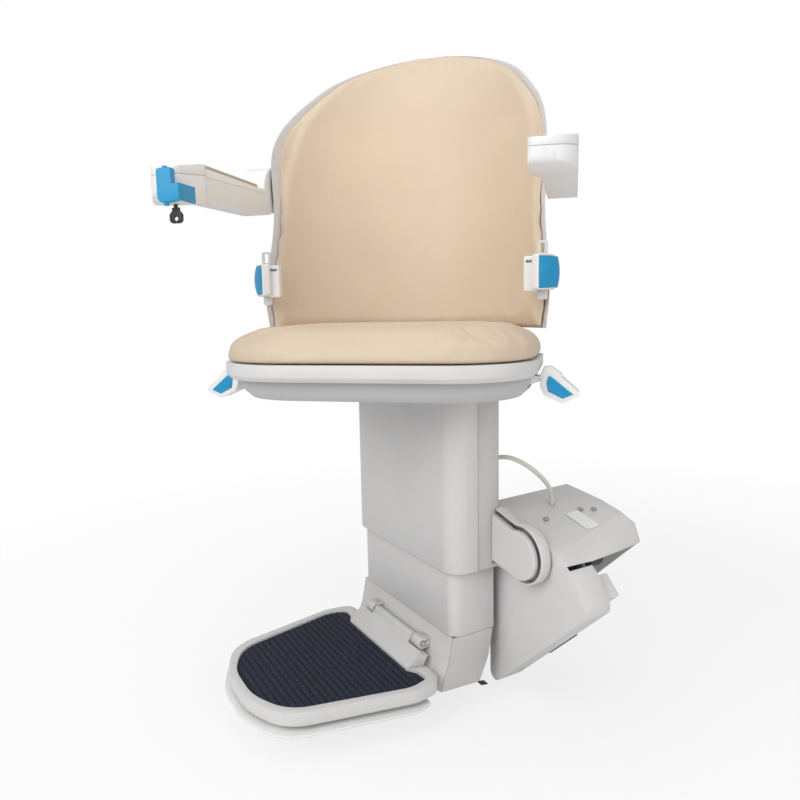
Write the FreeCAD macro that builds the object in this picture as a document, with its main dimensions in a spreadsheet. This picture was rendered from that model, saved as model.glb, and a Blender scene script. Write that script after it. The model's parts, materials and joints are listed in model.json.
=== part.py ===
"""Stairlift chair: carriage, column, folding footrest, swivelling seat with folding arms.

Lengths are millimetres. Pieces are drawn about the chair's middle line at the height of the
footrest mat: X runs up the stairs along the rail, Y points at the wall, Z is up. Their
placement then moves that point so that the origin of the whole part lies on the rail's axis.
"""
import FreeCAD, Part
import math
import os
import re
from types import SimpleNamespace
from FreeCAD import Placement, Rotation, Vector

SIZES = {
    # rail and carriage
    "rail_angle": 43.6,            # degrees above level
    "rail_radius": 30.0,
    "rail_play": 0.15,             # between tube and shoe
    "rail_depth": 196.0,           # rail axis behind the middle line
    "rail_drop": -68.0,            # rail axis, square to the rail
    "rail_station": 136.0,         # origin along the rail
    "shoe_start": 70.0,
    "shoe_long": 80.0,
    "shoe_wall": 8.0,
    "shoe_gap_half": 62.0,         # degrees, half of the opening of the shoe
    "carriage_front": 80.0,
    "chassis_front": 118.0,
    "chassis_thick": 6.0,
    "lid_reach": 44.0,             # lid behind the rail axis
    "shell": 3.0,
    "seam": 0.4,
    "pivot_x": 198.0,
    "pivot_z": 187.0,
    "axle_radius": 9.0,
    "bearing_radius": 13.5,
    "bearing_wide": 12.0,
    "running": 0.04,
    "pinion_radius": 21.0,
    "pinion_wide": 34.0,
    "pinion_station": 214.0,
    "pinion_teeth": 14.0,
    "roller_radius": 13.0,
    "roller_wide": 26.0,
    "roller_station_low": 176.0,
    "roller_station_high": 252.0,
    "roller_pin": 5.0,
    "motor_radius": 27.0,
    # column
    "column_mid": -10.0,
    "column_half": 150.0,
    "column_front": -16.0,
    "column_back": 72.0,
    "column_corner": 28.0,
    "cover_low": 151.0,
    "cover_top": 414.0,
    "side_seam": 30.0,
    "sleeve_half": 138.0,
    "sleeve_front": -8.0,
    "sleeve_back": 67.0,
    "sleeve_low": 51.0,
    "foot_low": -26.0,
    "post_half": 55.0,
    "post_front": 4.0,
    "post_back": 58.0,
    "post_wall": 4.0,
    "post_foot": -14.0,
    "post_top": 405.0,
    "arm_thick": 8.0,
    "lobe_front": 53.0,
    "lobe_step": 61.0,
    "lobe_back": 77.0,
    "lobe_radius": 34.0,
    "lobe_rim": 8.0,
    # footrest
    "hinge_y": -26.0,
    "hinge_z": 26.0,
    "hinge_half": 97.0,
    "hinge_barrel": 7.0,
    "hinge_pin": 4.0,
    "foot_rear_half": 153.0,
    "foot_nose_half": 112.0,
    "foot_nose": -291.0,
    "foot_rear": -34.0,
    "foot_rim": 2.0,
    "foot_under": -20.0,
    "mat_inset": 11.0,
    "mat_thick": 5.0,
    "plate_thick": 4.0,
    "plate_play": 5.4,
    # seat turntable and base
    "turn_angle": 45.0,            # degrees, as photographed
    "swivel_x": -18.0,
    "swivel_y": 18.0,
    "spigot_radius": 22.0,
    "turntable_radius": 68.0,
    "base_low": 418.0,
    "base_high": 445.0,
    "base_half": 200.0,
    "base_draw": 15.0,
    "frame_thick": 6.0,
    "frame_half": 165.0,
    # folding seat
    "seat_half": 208.0,
    "seat_nose": -264.0,
    "seat_wing": -52.0,
    "seat_rear": 50.0,
    "seat_corner": 106.0,
    "tray_high": 466.0,
    "cushion_seam": 467.0,
    "cushion_side": 22.0,          # above the seam
    "cushion_rise": 41.0,
    "seat_pin_y": 30.0,
    "seat_pin_z": 455.0,
    "seat_pin_radius": 4.0,
    "runner_x": 124.0,
    "runner_wide": 18.0,
    # backrest
    "back_cushion_thick": 27.0,
    "back_shell_thick": 30.0,
    "spine_half": 36.0,
    "spine_thick": 8.0,
    # arms
    "arm_pivot_y": 0.0,
    "arm_pivot_z": 718.0,
    "arm_pin_radius": 7.0,
    "arm_inner": 211.0,
    "arm_outer": 251.0,
    "knuckle_radius": 34.0,
    "pod_front": -290.0,
    "pad_high": 720.0,
    # small controls
    "lever_y": -140.0,
    "lever_inset": 24.0,           # shaft inside the tub's side
    "lever_axis_z": 434.0,
    "lever_shaft": 4.5,
    "latch_y": 59.5,
    "latch_radius": 5.0,
    "belt_y": -48.0,
    "belt_z": 577.0,
    "key_x": 227.0,
    "key_y": -254.0,
    "outlet_x": 100.0,
    "outlet_z": 303.6,
    "cable_radius": 3.4,
}

doc = FreeCAD.newDocument("stairlift_chair")
sheet = doc.addObject("Spreadsheet::Sheet", "Sizes")
for row, (name, number) in enumerate(SIZES.items(), start=1):
    sheet.set(f"A{row}", name.replace("_", " "))
    sheet.set(f"B{row}", str(number))
    sheet.setAlias(f"B{row}", name)
doc.recompute()
s = SimpleNamespace(**{name: float(sheet.get(name)) for name in SIZES})

COS = math.cos(math.radians(s.rail_angle))
SIN = math.sin(math.radians(s.rail_angle))


def on_rail(along, across):
    """X and Z of a point given along the rail and square to it."""
    return (along * COS - across * SIN, along * SIN + across * COS)


RAIL_X, RAIL_Z = on_rail(s.rail_station, s.rail_drop)
TO_RAIL = Placement(Vector(-RAIL_X, -s.rail_depth, -RAIL_Z), Rotation())
TURN = Placement(Vector(), Rotation(Vector(0, 0, 1), s.turn_angle))
FIXED = TO_RAIL
TURNED = TO_RAIL.multiply(TURN)
ROLES = {"XY": "XY_Plane", "XZ": "XZ_Plane", "YZ": "YZ_Plane"}
NODES = {}


def rule(text):
    """An expression with each size's name pointed at the sheet."""
    return re.sub(r"[a-z_]+", lambda m: f"Sizes.{m.group()}" if m.group() in SIZES else m.group(), text)


def rounded(points):
    """Lines and arcs of a closed outline; a point's third number rounds its corner."""
    corners = [Vector(p[0], p[1], 0) for p in points]
    radii = [p[2] if len(p) > 2 else 0.0 for p in points]
    ends = []
    for i, corner in enumerate(corners):
        back = (corners[i - 1] - corner).normalize()
        ahead = (corners[(i + 1) % len(corners)] - corner).normalize()
        if not radii[i]:
            ends.append((corner, None, corner))
            continue
        half = back.getAngle(ahead) / 2
        reach = radii[i] / math.tan(half)
        centre = corner + (back + ahead).normalize() * (radii[i] / math.sin(half))
        middle = centre + (corner - centre).normalize() * radii[i]
        ends.append((corner + back * reach, middle, corner + ahead * reach))
    curves = []
    for i, (first, middle, last) in enumerate(ends):
        if middle is not None:
            curves.append(Part.Arc(first, middle, last))
        following = ends[(i + 1) % len(ends)][0]
        if last.distanceToPoint(following) > 1e-6:
            curves.append(Part.LineSegment(last, following))
    return curves


def ring(x, y, radius):
    """A full circle as the one curve of an outline."""
    return [Part.Circle(Vector(x, y, 0), Vector(0, 0, 1), radius)]


def outline(shape):
    """Curves of an outline given as points or as curves."""
    return rounded(shape) if isinstance(shape[0], tuple) else shape


def sketch(body, plane, level, loops, label):
    """Sketch on the body's own origin plane, moved to a level that the sheet gives."""
    drawn = body.newObject("Sketcher::SketchObject", label)
    origin_plane = next(f for f in body.Origin.OriginFeatures if f.Role == ROLES[plane])
    drawn.AttachmentSupport = [(origin_plane, "")]
    drawn.MapMode = "FlatFace"
    sign = "-" if plane == "XZ" else ""
    drawn.setExpression("AttachmentOffset.Base.z", f"{sign}({rule(level)})")
    for loop in loops:
        drawn.addGeometry(outline(loop), False)
    return drawn


def keep(label, thing, placement):
    """Name a finished piece and put it in its place."""
    thing.Label = label
    thing.Placement = placement
    NODES[label] = thing
    return thing


def slab(label, plane, level, deep, loops, placement, cuts=(), taper=0.0):
    """Piece padded from one sketch, with pockets: (plane, level, deep, loops) each."""
    body = doc.addObject("PartDesign::Body", label)
    pad = body.newObject("PartDesign::Pad", label + "_pad")
    pad.Profile = sketch(body, plane, level, loops, label + "_outline")
    pad.setExpression("Length", rule(deep))
    pad.Reversed = plane == "XZ"
    pad.TaperAngle = taper
    for number, (side, start, depth, shapes) in enumerate(cuts, start=1):
        doc.recompute()
        before = body.Shape.Volume
        pocket = body.newObject("PartDesign::Pocket", f"{label}_pocket_{number}")
        pocket.Profile = sketch(body, side, start, shapes, f"{label}_cut_{number}")
        pocket.setExpression("Length", rule(depth))
        pocket.Reversed = side != "XZ"
        doc.recompute()
        if body.Shape.Volume > before - 1e-3:
            raise RuntimeError(f"pocket {number} of {label} cuts nothing")
    doc.recompute()
    return keep(label, body, placement)


def flat_at(axis, level, slack=0.01):
    """Chooses edges that lie in one plane, square to an axis."""
    def choose(edge):
        box = edge.BoundBox
        low, high = getattr(box, axis + "Min"), getattr(box, axis + "Max")
        return abs(low - level) < slack and abs(high - level) < slack
    return choose


def solid(label, shape, placement):
    """Piece whose shape neither a sketch nor a primitive gives."""
    thing = doc.addObject("Part::Feature", label)
    thing.Shape = shape
    return keep(label, thing, placement.multiply(shape.Placement))


def wire(points, plane="XY", level=0.0):
    """Closed wire of an outline, stood in its plane."""
    flat = Part.Wire([c.toShape() for c in outline(points)])
    if plane == "XY":
        return flat.translate(Vector(0, 0, level)) or flat
    stand = {
        "XZ": Placement(Vector(0, level, 0), Rotation(Vector(1, 0, 0), 90)),
        "YZ": Placement(Vector(level, 0, 0), Rotation(Vector(1, 1, 1), 120)),
    }[plane]
    flat.Placement = stand
    return flat


def prism(points, plane, level, deep):
    """Solid from an outline in a plane, deep along the plane's axis."""
    way = {"XY": Vector(0, 0, deep), "XZ": Vector(0, deep, 0), "YZ": Vector(deep, 0, 0)}[plane]
    return Part.Face(wire(points, plane, level)).extrude(way)


def rod(start, end, radius):
    """Round bar between two points."""
    way = end - start
    return Part.makeCylinder(radius, way.Length, start, way)


def block(x0, x1, y0, y1, z0, z1):
    """Box between two corners."""
    return Part.makeBox(x1 - x0, y1 - y0, z1 - z0, Vector(x0, y0, z0))


def loft(wires, ruled=True):
    """Closed solid through a row of wires."""
    return Part.makeLoft(wires, True, ruled)


def mirrored(shape):
    """The same shape on the other hand of the seat."""
    return shape.mirror(Vector(), Vector(1, 0, 0))


def round_edges(shape, radius, choose=lambda edge: True):
    """Shape with the chosen edges rounded."""
    return shape.makeFillet(radius, [e for e in shape.Edges if choose(e)])


LID_NEAR = [(100, 236.4), (150, 226.4), (206, 209.4), (250, 197.4), (278, 176.4), (302.4, 141)]
LID_FAR = [(100, 241), (130, 238), (172, 233), (212, 224), (240, 213), (250, 190)]


def carriage():
    """Triangular carriage behind the column, with its rail shoe, rollers and drive."""
    half = s.chassis_front + s.chassis_thick
    front = [(100, 236), (150, 226, 60), (206, 209, 60), (250, 197, 40), (278, 176, 30), (302, 141, 10),
             (302, 129, 6), (104, -60, 12)]
    slab("carriage_front_cover", "XZ", "carriage_front", "chassis_front + chassis_thick - carriage_front",
         [front], FIXED)
    cover = NODES["carriage_front_cover"]
    pad = cover.Tip
    back_face = next(f"Face{i}" for i, f in enumerate(pad.Shape.Faces, start=1)
                     if abs(f.BoundBox.YMin - half) < 0.01)
    thin = cover.newObject("PartDesign::Thickness", "carriage_front_cover_wall")
    thin.Base = (pad, [back_face])
    thin.setExpression("Value", rule("shell"))
    thin.Mode = 0
    thin.Join = 1
    thin.Reversed = True
    doc.recompute()
    bore = cover.newObject("PartDesign::Pocket", "carriage_front_cover_bore")
    bore.Profile = sketch(cover, "XZ", "carriage_front - 1", [ring(s.pivot_x, s.pivot_z, s.axle_radius + 3)],
                          "carriage_front_cover_hole")
    bore.setExpression("Length", rule("shell + 2"))
    doc.recompute()
    open_top = cover.newObject("PartDesign::Pocket", "carriage_front_cover_top")
    open_top.Profile = sketch(cover, "XZ", "carriage_front + shell",
                              [[(90, 222), (150, 220, 60), (205, 204, 60), (247, 192, 40), (268, 176), (280, 260),
                                (90, 260)]], "carriage_front_cover_mouth")
    open_top.setExpression("Length", rule("chassis_front + chassis_thick - carriage_front"))
    doc.recompute()

    tube_way = Vector(COS, 0, SIN)
    tall = Vector(-SIN, 0, COS)

    def rail_at(along):
        x, z = on_rail(along, s.rail_drop)
        return Vector(x, s.rail_depth, z)

    low = [on_rail(310, -37), on_rail(40, -37)]
    near, far = LID_NEAR, LID_FAR
    floor = [(290, -80), (100, -80)]
    skin = loft([wire(near + floor, "XZ", s.carriage_front), wire(far + floor, "XZ", (s.rail_depth + s.lid_reach))])

    def lowered(points):
        inner = [(x, z - s.shell * 1.1) for x, z in points]
        inner[0] = (inner[0][0] + s.shell, inner[0][1])
        inner[-2:] = [(x - s.shell, z) for x, z in inner[-2:]]
        return inner

    core_floor = [(290 - s.shell, -90), (100 + s.shell, -90)]
    core = loft([wire(lowered(near) + core_floor, "XZ", s.carriage_front - 0.01),
                 wire(lowered(far) + core_floor, "XZ", (s.rail_depth + s.lid_reach) - s.shell)])
    under_rail = prism([low[0], (low[0][0] + 80, low[0][1]), (400, -300), (-100, -300), (-100, low[1][1] - 60),
                        low[1]], "XZ", s.carriage_front - 5, 400)
    face_room = prism([(60, 236), (100, 236), (150, 226, 60), (206, 209, 60), (250, 197, 40), (278, 176, 30),
                       (302.4, 141), (330, 130), (330, -300), (60, -300)],
                      "XZ", s.carriage_front - 5, half + s.seam - s.carriage_front + 5)
    shoe_room = Part.makeCylinder(s.rail_radius + s.rail_play + s.shoe_wall + 1, 120, rail_at(50), tube_way)
    lid = skin.cut(core).cut(under_rail).cut(face_room).cut(shoe_room)
    slot = Part.makeCylinder(s.cable_radius + 1.2, 40, Vector(146, 165, 215))
    lid = lid.cut(slot)
    holes = [(177, 125), (181, 190), (190, 208)]
    screws = []
    for x, y in holes:
        seat_here = Placement(Vector(x, y, lid_height(x, y)), lid_tilt(x, y))
        hole = Part.makeCylinder(2.2, 16, Vector(0, 0, -8))
        hole.Placement = seat_here
        lid = lid.cut(hole)
        head = round_edges(Part.makeCylinder(4.0, 2.0, Vector(0, 0, 0.3)), 0.8, flat_at("Z", 2.3))
        screw = head.fuse(Part.makeCylinder(2.0, 12, Vector(0, 0, -11.4)))
        screw.Placement = seat_here
        screws.append(screw)
    solid("carriage_lid", lid, FIXED)

    solid("lid_screws", Part.makeCompound(screws), FIXED)
    plate_z = lid_height(203, 172)
    label = block(-23, 23, -12, 12, 0, 0.8)
    label.Placement = Placement(Vector(203, 172, plate_z + 0.5), lid_tilt(203, 172))
    solid("blank_label", label, FIXED)

    inset = [(104, 216), (150, 216, 60), (204, 201, 60), (245, 189, 40), (268, 170, 24), (291, 139), (291, 133, 6),
             (107, -50, 10)]
    plate = prism(inset, "XZ", s.chassis_front, s.chassis_thick)
    boss = rod(Vector(s.pivot_x, s.chassis_front - 26, s.pivot_z), Vector(s.pivot_x, s.chassis_front, s.pivot_z),
               s.bearing_radius + 4)
    room = rod(Vector(s.pivot_x, s.chassis_front - 30, s.pivot_z), Vector(s.pivot_x, half + 1, s.pivot_z),
               s.bearing_radius)
    plate = plate.fuse(boss).cut(room).removeSplitter()
    solid("chassis", plate, FIXED)

    rings = []
    for y in (s.chassis_front - 25, half - s.bearing_wide - 1):
        outer = rod(Vector(s.pivot_x, y, s.pivot_z), Vector(s.pivot_x, y + s.bearing_wide, s.pivot_z),
                    s.bearing_radius)
        inner = rod(Vector(s.pivot_x, y - 1, s.pivot_z), Vector(s.pivot_x, y + s.bearing_wide + 1, s.pivot_z),
                    s.axle_radius + s.running)
        rings.append(outer.cut(inner))
    solid("axle_bearings", Part.makeCompound(rings), FIXED)

    start, end = s.shoe_start, s.shoe_start + s.shoe_long
    bore_radius = s.rail_radius + s.rail_play
    ring_outer = Part.makeCylinder(bore_radius + s.shoe_wall, s.shoe_long, rail_at(start), tube_way)
    web_turn = Rotation(Vector(0, 1, 0), tall, tube_way, "ZXY")
    web = Part.makeBox(s.rail_depth - half, 44, s.shoe_long)
    web.Placement = Placement(rail_at(start) + Vector(0, half - s.rail_depth, 0) + tall * -22, web_turn)
    tube = Part.makeCylinder(bore_radius, s.shoe_long + 20, rail_at(start - 10), tube_way)
    corners = [Vector(0, 0, 0)]
    for turn, reach in ((-s.shoe_gap_half, 2), (0, 4), (s.shoe_gap_half, 2)):
        way = math.radians(turn - 40)
        corners.append(Vector(math.cos(way), math.sin(way), 0) * reach * bore_radius)
    mouth = Part.Face(Part.makePolygon(corners + corners[:1])).extrude(Vector(0, 0, s.shoe_long + 20))
    mouth.Placement = Placement(rail_at(start - 10), web_turn)
    shoe = ring_outer.fuse(web).cut(tube).cut(mouth).removeSplitter()
    solid("rail_shoe", shoe, FIXED)

    hook = Part.makeBox(32, 34, 24)
    hook.Placement = Placement(rail_at(284) + Vector(0, half - s.rail_depth, 0) + tall * -31, web_turn)
    hook = round_edges(hook, 5, lambda e: e.BoundBox.YMin > half + 20)
    solid("rail_hook", hook, FIXED)

    pin_x, pin_z = on_rail(s.pinion_station, s.rail_drop + s.rail_radius + s.pinion_radius + 3)
    teeth = gear(int(s.pinion_teeth), s.pinion_radius, s.pinion_wide)
    teeth = teeth.cut(Part.makeCylinder(6 + s.running, s.pinion_wide + 2, Vector(0, 0, -1)))
    teeth.Placement = Placement(Vector(pin_x, s.rail_depth + s.pinion_wide / 2, pin_z),
                                Rotation(Vector(1, 0, 0), 90))
    solid("drive_pinion", teeth, FIXED)
    box = block(pin_x - 13.5, pin_x + 27, half, 152, pin_z - 22, pin_z + 66)
    box = round_edges(box, 6, lambda e: e.BoundBox.YLength > 20)
    shaft = rod(Vector(pin_x, 152, pin_z), Vector(pin_x, 218, pin_z), 6)
    solid("drive_gearbox", box.fuse(shaft), FIXED)
    motor_z = pin_z + 50
    motor = rod(Vector(pin_x - 14, 152, motor_z), Vector(pin_x - 14, 226, motor_z), s.motor_radius)
    motor = round_edges(motor, 4, flat_at("Y", 226))
    solid("drive_motor", motor, FIXED)

    pins = []
    for name, along in (("guide_roller_low", s.roller_station_low), ("guide_roller_high", s.roller_station_high)):
        x, z = on_rail(along, s.rail_drop + s.rail_radius + s.roller_radius + 1)
        pins.append(rod(Vector(x, half, z), Vector(x, s.rail_depth + 20, z), s.roller_pin))
        wheel = rod(Vector(x, s.rail_depth - s.roller_wide / 2, z), Vector(x, s.rail_depth + s.roller_wide / 2, z),
                    s.roller_radius)
        wheel = round_edges(wheel, 3)
        hole = rod(Vector(x, s.rail_depth - 40, z), Vector(x, s.rail_depth + 40, z), s.roller_pin + s.running)
        solid(name, wheel.cut(hole), FIXED)
    solid("roller_pins", Part.makeCompound(pins), FIXED)

    cells = []
    for x, z in ((110, 20), (172, 84)):
        cells.append(round_edges(block(x, x + 48, 88, s.chassis_front, z, z + 58), 4,
                                 lambda e: e.BoundBox.YLength > 20))
    solid("batteries", Part.makeCompound(cells), FIXED)
    board = block(110, 166, 104, 106, 96, 190)
    for x in (116, 160):
        for z in (102, 184):
            board = board.fuse(rod(Vector(x, 106, z), Vector(x, s.chassis_front, z), 3))
    solid("control_board", board, FIXED)


def lid_height(x, y):
    """Height of the lid's top at a place, read from its two edges."""
    share = (y - s.carriage_front) / ((s.rail_depth + s.lid_reach) - s.carriage_front)
    front = level_on(LID_NEAR, x)
    back = level_on(LID_FAR, x)
    return front + (back - front) * share


def level_on(points, x):
    """Height on a broken line at x."""
    for (xa, za), (xb, zb) in zip(points, points[1:]):
        if xa <= x <= xb:
            return za + (zb - za) * (x - xa) / (xb - xa)
    return points[-1][1]


def lid_tilt(x, y):
    """Turn that lays a flat piece on the lid."""
    along = Vector(10, 0, lid_height(x + 5, y) - lid_height(x - 5, y)).normalize()
    into = Vector(0, 10, lid_height(x, y + 5) - lid_height(x, y - 5)).normalize()
    return Rotation(along, into, along.cross(into), "ZXY")


def gear(teeth, radius, wide):
    """Plain spur gear about Z, its teeth cut as trapezoids."""
    points = []
    for tooth in range(teeth):
        mid = 2 * math.pi * tooth / teeth
        for share, out in ((-0.27, -3.2), (-0.13, 1.0), (0.13, 1.0), (0.27, -3.2)):
            angle = mid + share * 2 * math.pi / teeth
            points.append(Vector((radius + out) * math.cos(angle), (radius + out) * math.sin(angle), 0))
    return Part.Face(Part.makePolygon(points + points[:1])).extrude(Vector(0, 0, wide))


def column():
    """Column with its covers, post, levelling arm and foot."""
    mid, half = s.column_mid, s.column_half
    corner, wall = s.column_corner, s.shell
    left, right = mid - half, mid + half
    front = [(left, s.side_seam), (left, s.column_front, corner), (right, s.column_front, corner),
             (right, s.side_seam), (right - wall, s.side_seam),
             (right - wall, s.column_front + wall, corner - wall),
             (left + wall, s.column_front + wall, corner - wall), (left + wall, s.side_seam)]
    slab("column_front_cover", "XY", "cover_low", "cover_top - cover_low", [front], FIXED)
    seam = s.side_seam + s.seam
    rear = [(left, seam), (left, s.column_back, 10), (right, s.column_back, 10), (right, seam),
            (right - wall, seam), (right - wall, s.column_back - wall, 7),
            (left + wall, s.column_back - wall, 7), (left + wall, seam)]
    window = [(right - 20, 158), (right + 5, 158), (right + 5, 226), (right - 20, 226)]
    slab("column_rear_cover", "XY", "cover_low", "cover_top - cover_low", [rear], FIXED,
         cuts=[("XZ", "side_seam + 26", "column_back - side_seam - 16", [window]),
               ("XZ", "column_back - shell - 1", "shell + 2", [ring(s.outlet_x, s.outlet_z, s.cable_radius + 0.3)])])

    inner = s.sleeve_half
    left, right = mid - inner, mid + inner
    sleeve = [(left, s.sleeve_back), (left, s.sleeve_front, 16), (right, s.sleeve_front, 16),
              (right, s.sleeve_back), (right - wall, s.sleeve_back),
              (right - wall, s.sleeve_front + wall, 13), (left + wall, s.sleeve_front + wall, 13),
              (left + wall, s.sleeve_back)]
    slab("column_lower_cover", "XY", "sleeve_low + seam", "cover_low - sleeve_low - 2 * seam", [sleeve], FIXED)
    toe = [(s.sleeve_front, s.sleeve_low), (s.sleeve_front - 8, 10, 60), (s.sleeve_front - 22, s.foot_low),
           (s.sleeve_front - 18, s.foot_low), (s.sleeve_front - 4, 10, 60), (s.sleeve_front + wall, s.sleeve_low)]
    slab("column_toe_cover", "YZ", "column_mid - sleeve_half + 3.4", "2 * sleeve_half - 6.8", [toe], FIXED)
    cap = [(s.sleeve_front + 1, s.sleeve_low), (s.sleeve_front - 7, 10, 60), (s.sleeve_front - 21, s.foot_low + 1),
           (40, s.foot_low - 3, 6), (57, 8, 30), (s.sleeve_back - 2, s.sleeve_low)]
    sides = []
    for x in (mid - inner, mid + inner - wall):
        sides.append(prism(cap, "YZ", x, wall))
    solid("column_side_caps", Part.makeCompound(sides), FIXED)

    x0, x1 = mid - s.post_half, mid + s.post_half
    post = block(x0, x1, s.post_front, s.post_back, s.post_foot, s.post_top)
    hollow = block(x0 + s.post_wall, x1 - s.post_wall, s.post_front + s.post_wall, s.post_back - s.post_wall,
                   s.post_foot - 1, s.post_top - 2 * s.post_wall)
    hub = Vector(s.swivel_x, s.swivel_y, s.post_top)
    rise = s.base_low - 9 - s.post_top
    head = Part.makeCylinder(45, rise, hub).common(block(mid - 100, mid + 100, -2, 66, 400, 420))
    for angle in (s.turn_angle, -s.turn_angle):
        place = seat_point(0, s.latch_y, 0, turned=s.turn_angle + angle)
        head = head.cut(Part.makeCylinder(s.latch_radius + 0.3, 18, Vector(place.x, place.y, s.post_top - 12)))
    spigot = Part.makeCylinder(s.spigot_radius, 22 - rise, hub + Vector(0, 0, rise))
    spigot = round_edges(spigot, 1, flat_at("Z", s.post_top + 22))
    solid("column_head", Part.makeCompound([head, spigot]), FIXED)
    post = post.cut(hollow)
    shelves = []
    for level, reach, front_y, back_y in ((20, inner - wall - 0.3, -9, 40), (90, inner - wall - 0.3, -4.7, 56),
                                          (290, half - wall - 0.3, s.column_front + wall + 0.3, 58),
                                          (290, half - 16, 50, s.column_back - wall - 0.3)):
        shelves.append(block(mid - reach, mid + reach, front_y, back_y, level, level + 4))
    corners = []
    for level, reach, front_y, radius in ((90, inner - wall - 0.3, -4.7, 13), (290, half - wall - 0.3, -12.7, 25)):
        for side in (-1, 1):
            edge_x = mid + side * reach
            near, far = sorted((edge_x, edge_x - side * radius))
            square = block(near, far, front_y, front_y + radius, level - 1, level + 5)
            centre = Vector(edge_x - side * radius, front_y + radius, level - 2)
            corners.append(square.cut(Part.makeCylinder(radius, 8, centre)))
    post = post.fuse(shelves)
    for corner_piece in corners:
        post = post.cut(corner_piece)
    post = post.removeSplitter()
    solid("column_post", post, FIXED)

    arm = prism([(mid - 40, s.pivot_z - 14), (s.pivot_x, s.pivot_z - 14), (s.pivot_x, s.pivot_z + 22),
                 (s.pivot_x - 30, s.pivot_z + 28), (mid - 40, s.pivot_z + 32)], "XZ", s.post_back, s.arm_thick)
    eye = rod(Vector(s.pivot_x, s.post_back, s.pivot_z), Vector(s.pivot_x, s.post_back + s.arm_thick, s.pivot_z), 25)
    axle = rod(Vector(s.pivot_x, s.post_back, s.pivot_z), Vector(s.pivot_x, s.chassis_front + 5, s.pivot_z),
               s.axle_radius)
    solid("levelling_arm", arm.fuse([eye, axle]).removeSplitter(), FIXED)

    root = mid + half + s.seam
    for name, low, high, grow in (("lobe_front_shell", s.lobe_front, s.lobe_step - 0.3, 0.0),
                                  ("lobe_rear_shell", s.lobe_step, s.lobe_back, s.lobe_rim)):
        radius = s.lobe_radius + grow
        outer = lobe_outline(root, radius, grow)
        body = prism(outer, "XZ", low, high - low)
        cavity = prism(lobe_outline(root - 3, radius - s.shell, grow - s.shell), "XZ",
                       low + (s.shell if low == s.lobe_front else -1), high - low + 2)
        body = body.cut(cavity)
        if low != s.lobe_front:
            lining = prism(lobe_outline(root, radius - s.shell + 0.1, grow - s.shell), "XZ", s.lobe_back - s.shell,
                           s.shell)
            keyhole = rod(Vector(s.pivot_x, 60, s.pivot_z), Vector(s.pivot_x, 90, s.pivot_z), s.axle_radius + 2)
            body = body.fuse(lining).cut(keyhole).removeSplitter()
        else:
            body = round_edges(body, 2.2, flat_at("Y", s.lobe_front))
        solid(name, body, FIXED)
    clip = prism([(36, -26.5), (40, -30), (48, -41, 3), (60, -43), (60, -41), (49, -39, 2), (42, -28), (42, -26)],
                 "YZ", mid + inner - 16, 10)
    strut = block(mid + inner - 16, mid + inner - 6, 30, 42, -29.5, -26)
    tab = block(mid + inner - 16, mid + inner - 3, 30, 34, -29.5, -10)
    solid("foot_clip", clip.fuse([strut, tab]).removeSplitter(), FIXED)


def lobe_outline(root, radius, grow):
    """Teardrop that reaches from the column's side to round the levelling pivot."""
    reach = math.sqrt(0.5) * radius
    top = s.pivot_z + radius
    return [
        Part.LineSegment(Vector(root, s.pivot_z + 46 + grow, 0), Vector(s.pivot_x - 12, top, 0)),
        Part.Arc(Vector(s.pivot_x - 12, top, 0), Vector(s.pivot_x + reach, s.pivot_z + reach, 0),
                 Vector(s.pivot_x + radius, s.pivot_z, 0)),
        Part.Arc(Vector(s.pivot_x + radius, s.pivot_z, 0), Vector(s.pivot_x + reach, s.pivot_z - reach, 0),
                 Vector(s.pivot_x, s.pivot_z - radius, 0)),
        Part.LineSegment(Vector(s.pivot_x, s.pivot_z - radius, 0), Vector(s.pivot_x - 34, s.pivot_z - 26 - grow, 0)),
        Part.LineSegment(Vector(s.pivot_x - 34, s.pivot_z - 26 - grow, 0), Vector(root, s.pivot_z - 24 - grow, 0)),
        Part.LineSegment(Vector(root, s.pivot_z - 24 - grow, 0), Vector(root, s.pivot_z + 46 + grow, 0)),
    ]


def seat_point(x, y, z, turned=None):
    """A point of the seat in the column's frame, the seat turned about its swivel."""
    angle = math.radians(s.turn_angle if turned is None else turned)
    rest = math.radians(s.turn_angle)
    hub = Vector(s.swivel_x, s.swivel_y, 0)
    start = Vector(x * math.cos(rest) - y * math.sin(rest), x * math.sin(rest) + y * math.cos(rest), z)
    away = start - Vector(hub.x, hub.y, 0)
    more = angle - rest
    return Vector(hub.x + away.x * math.cos(more) - away.y * math.sin(more),
                  hub.y + away.x * math.sin(more) + away.y * math.cos(more), z)


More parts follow.
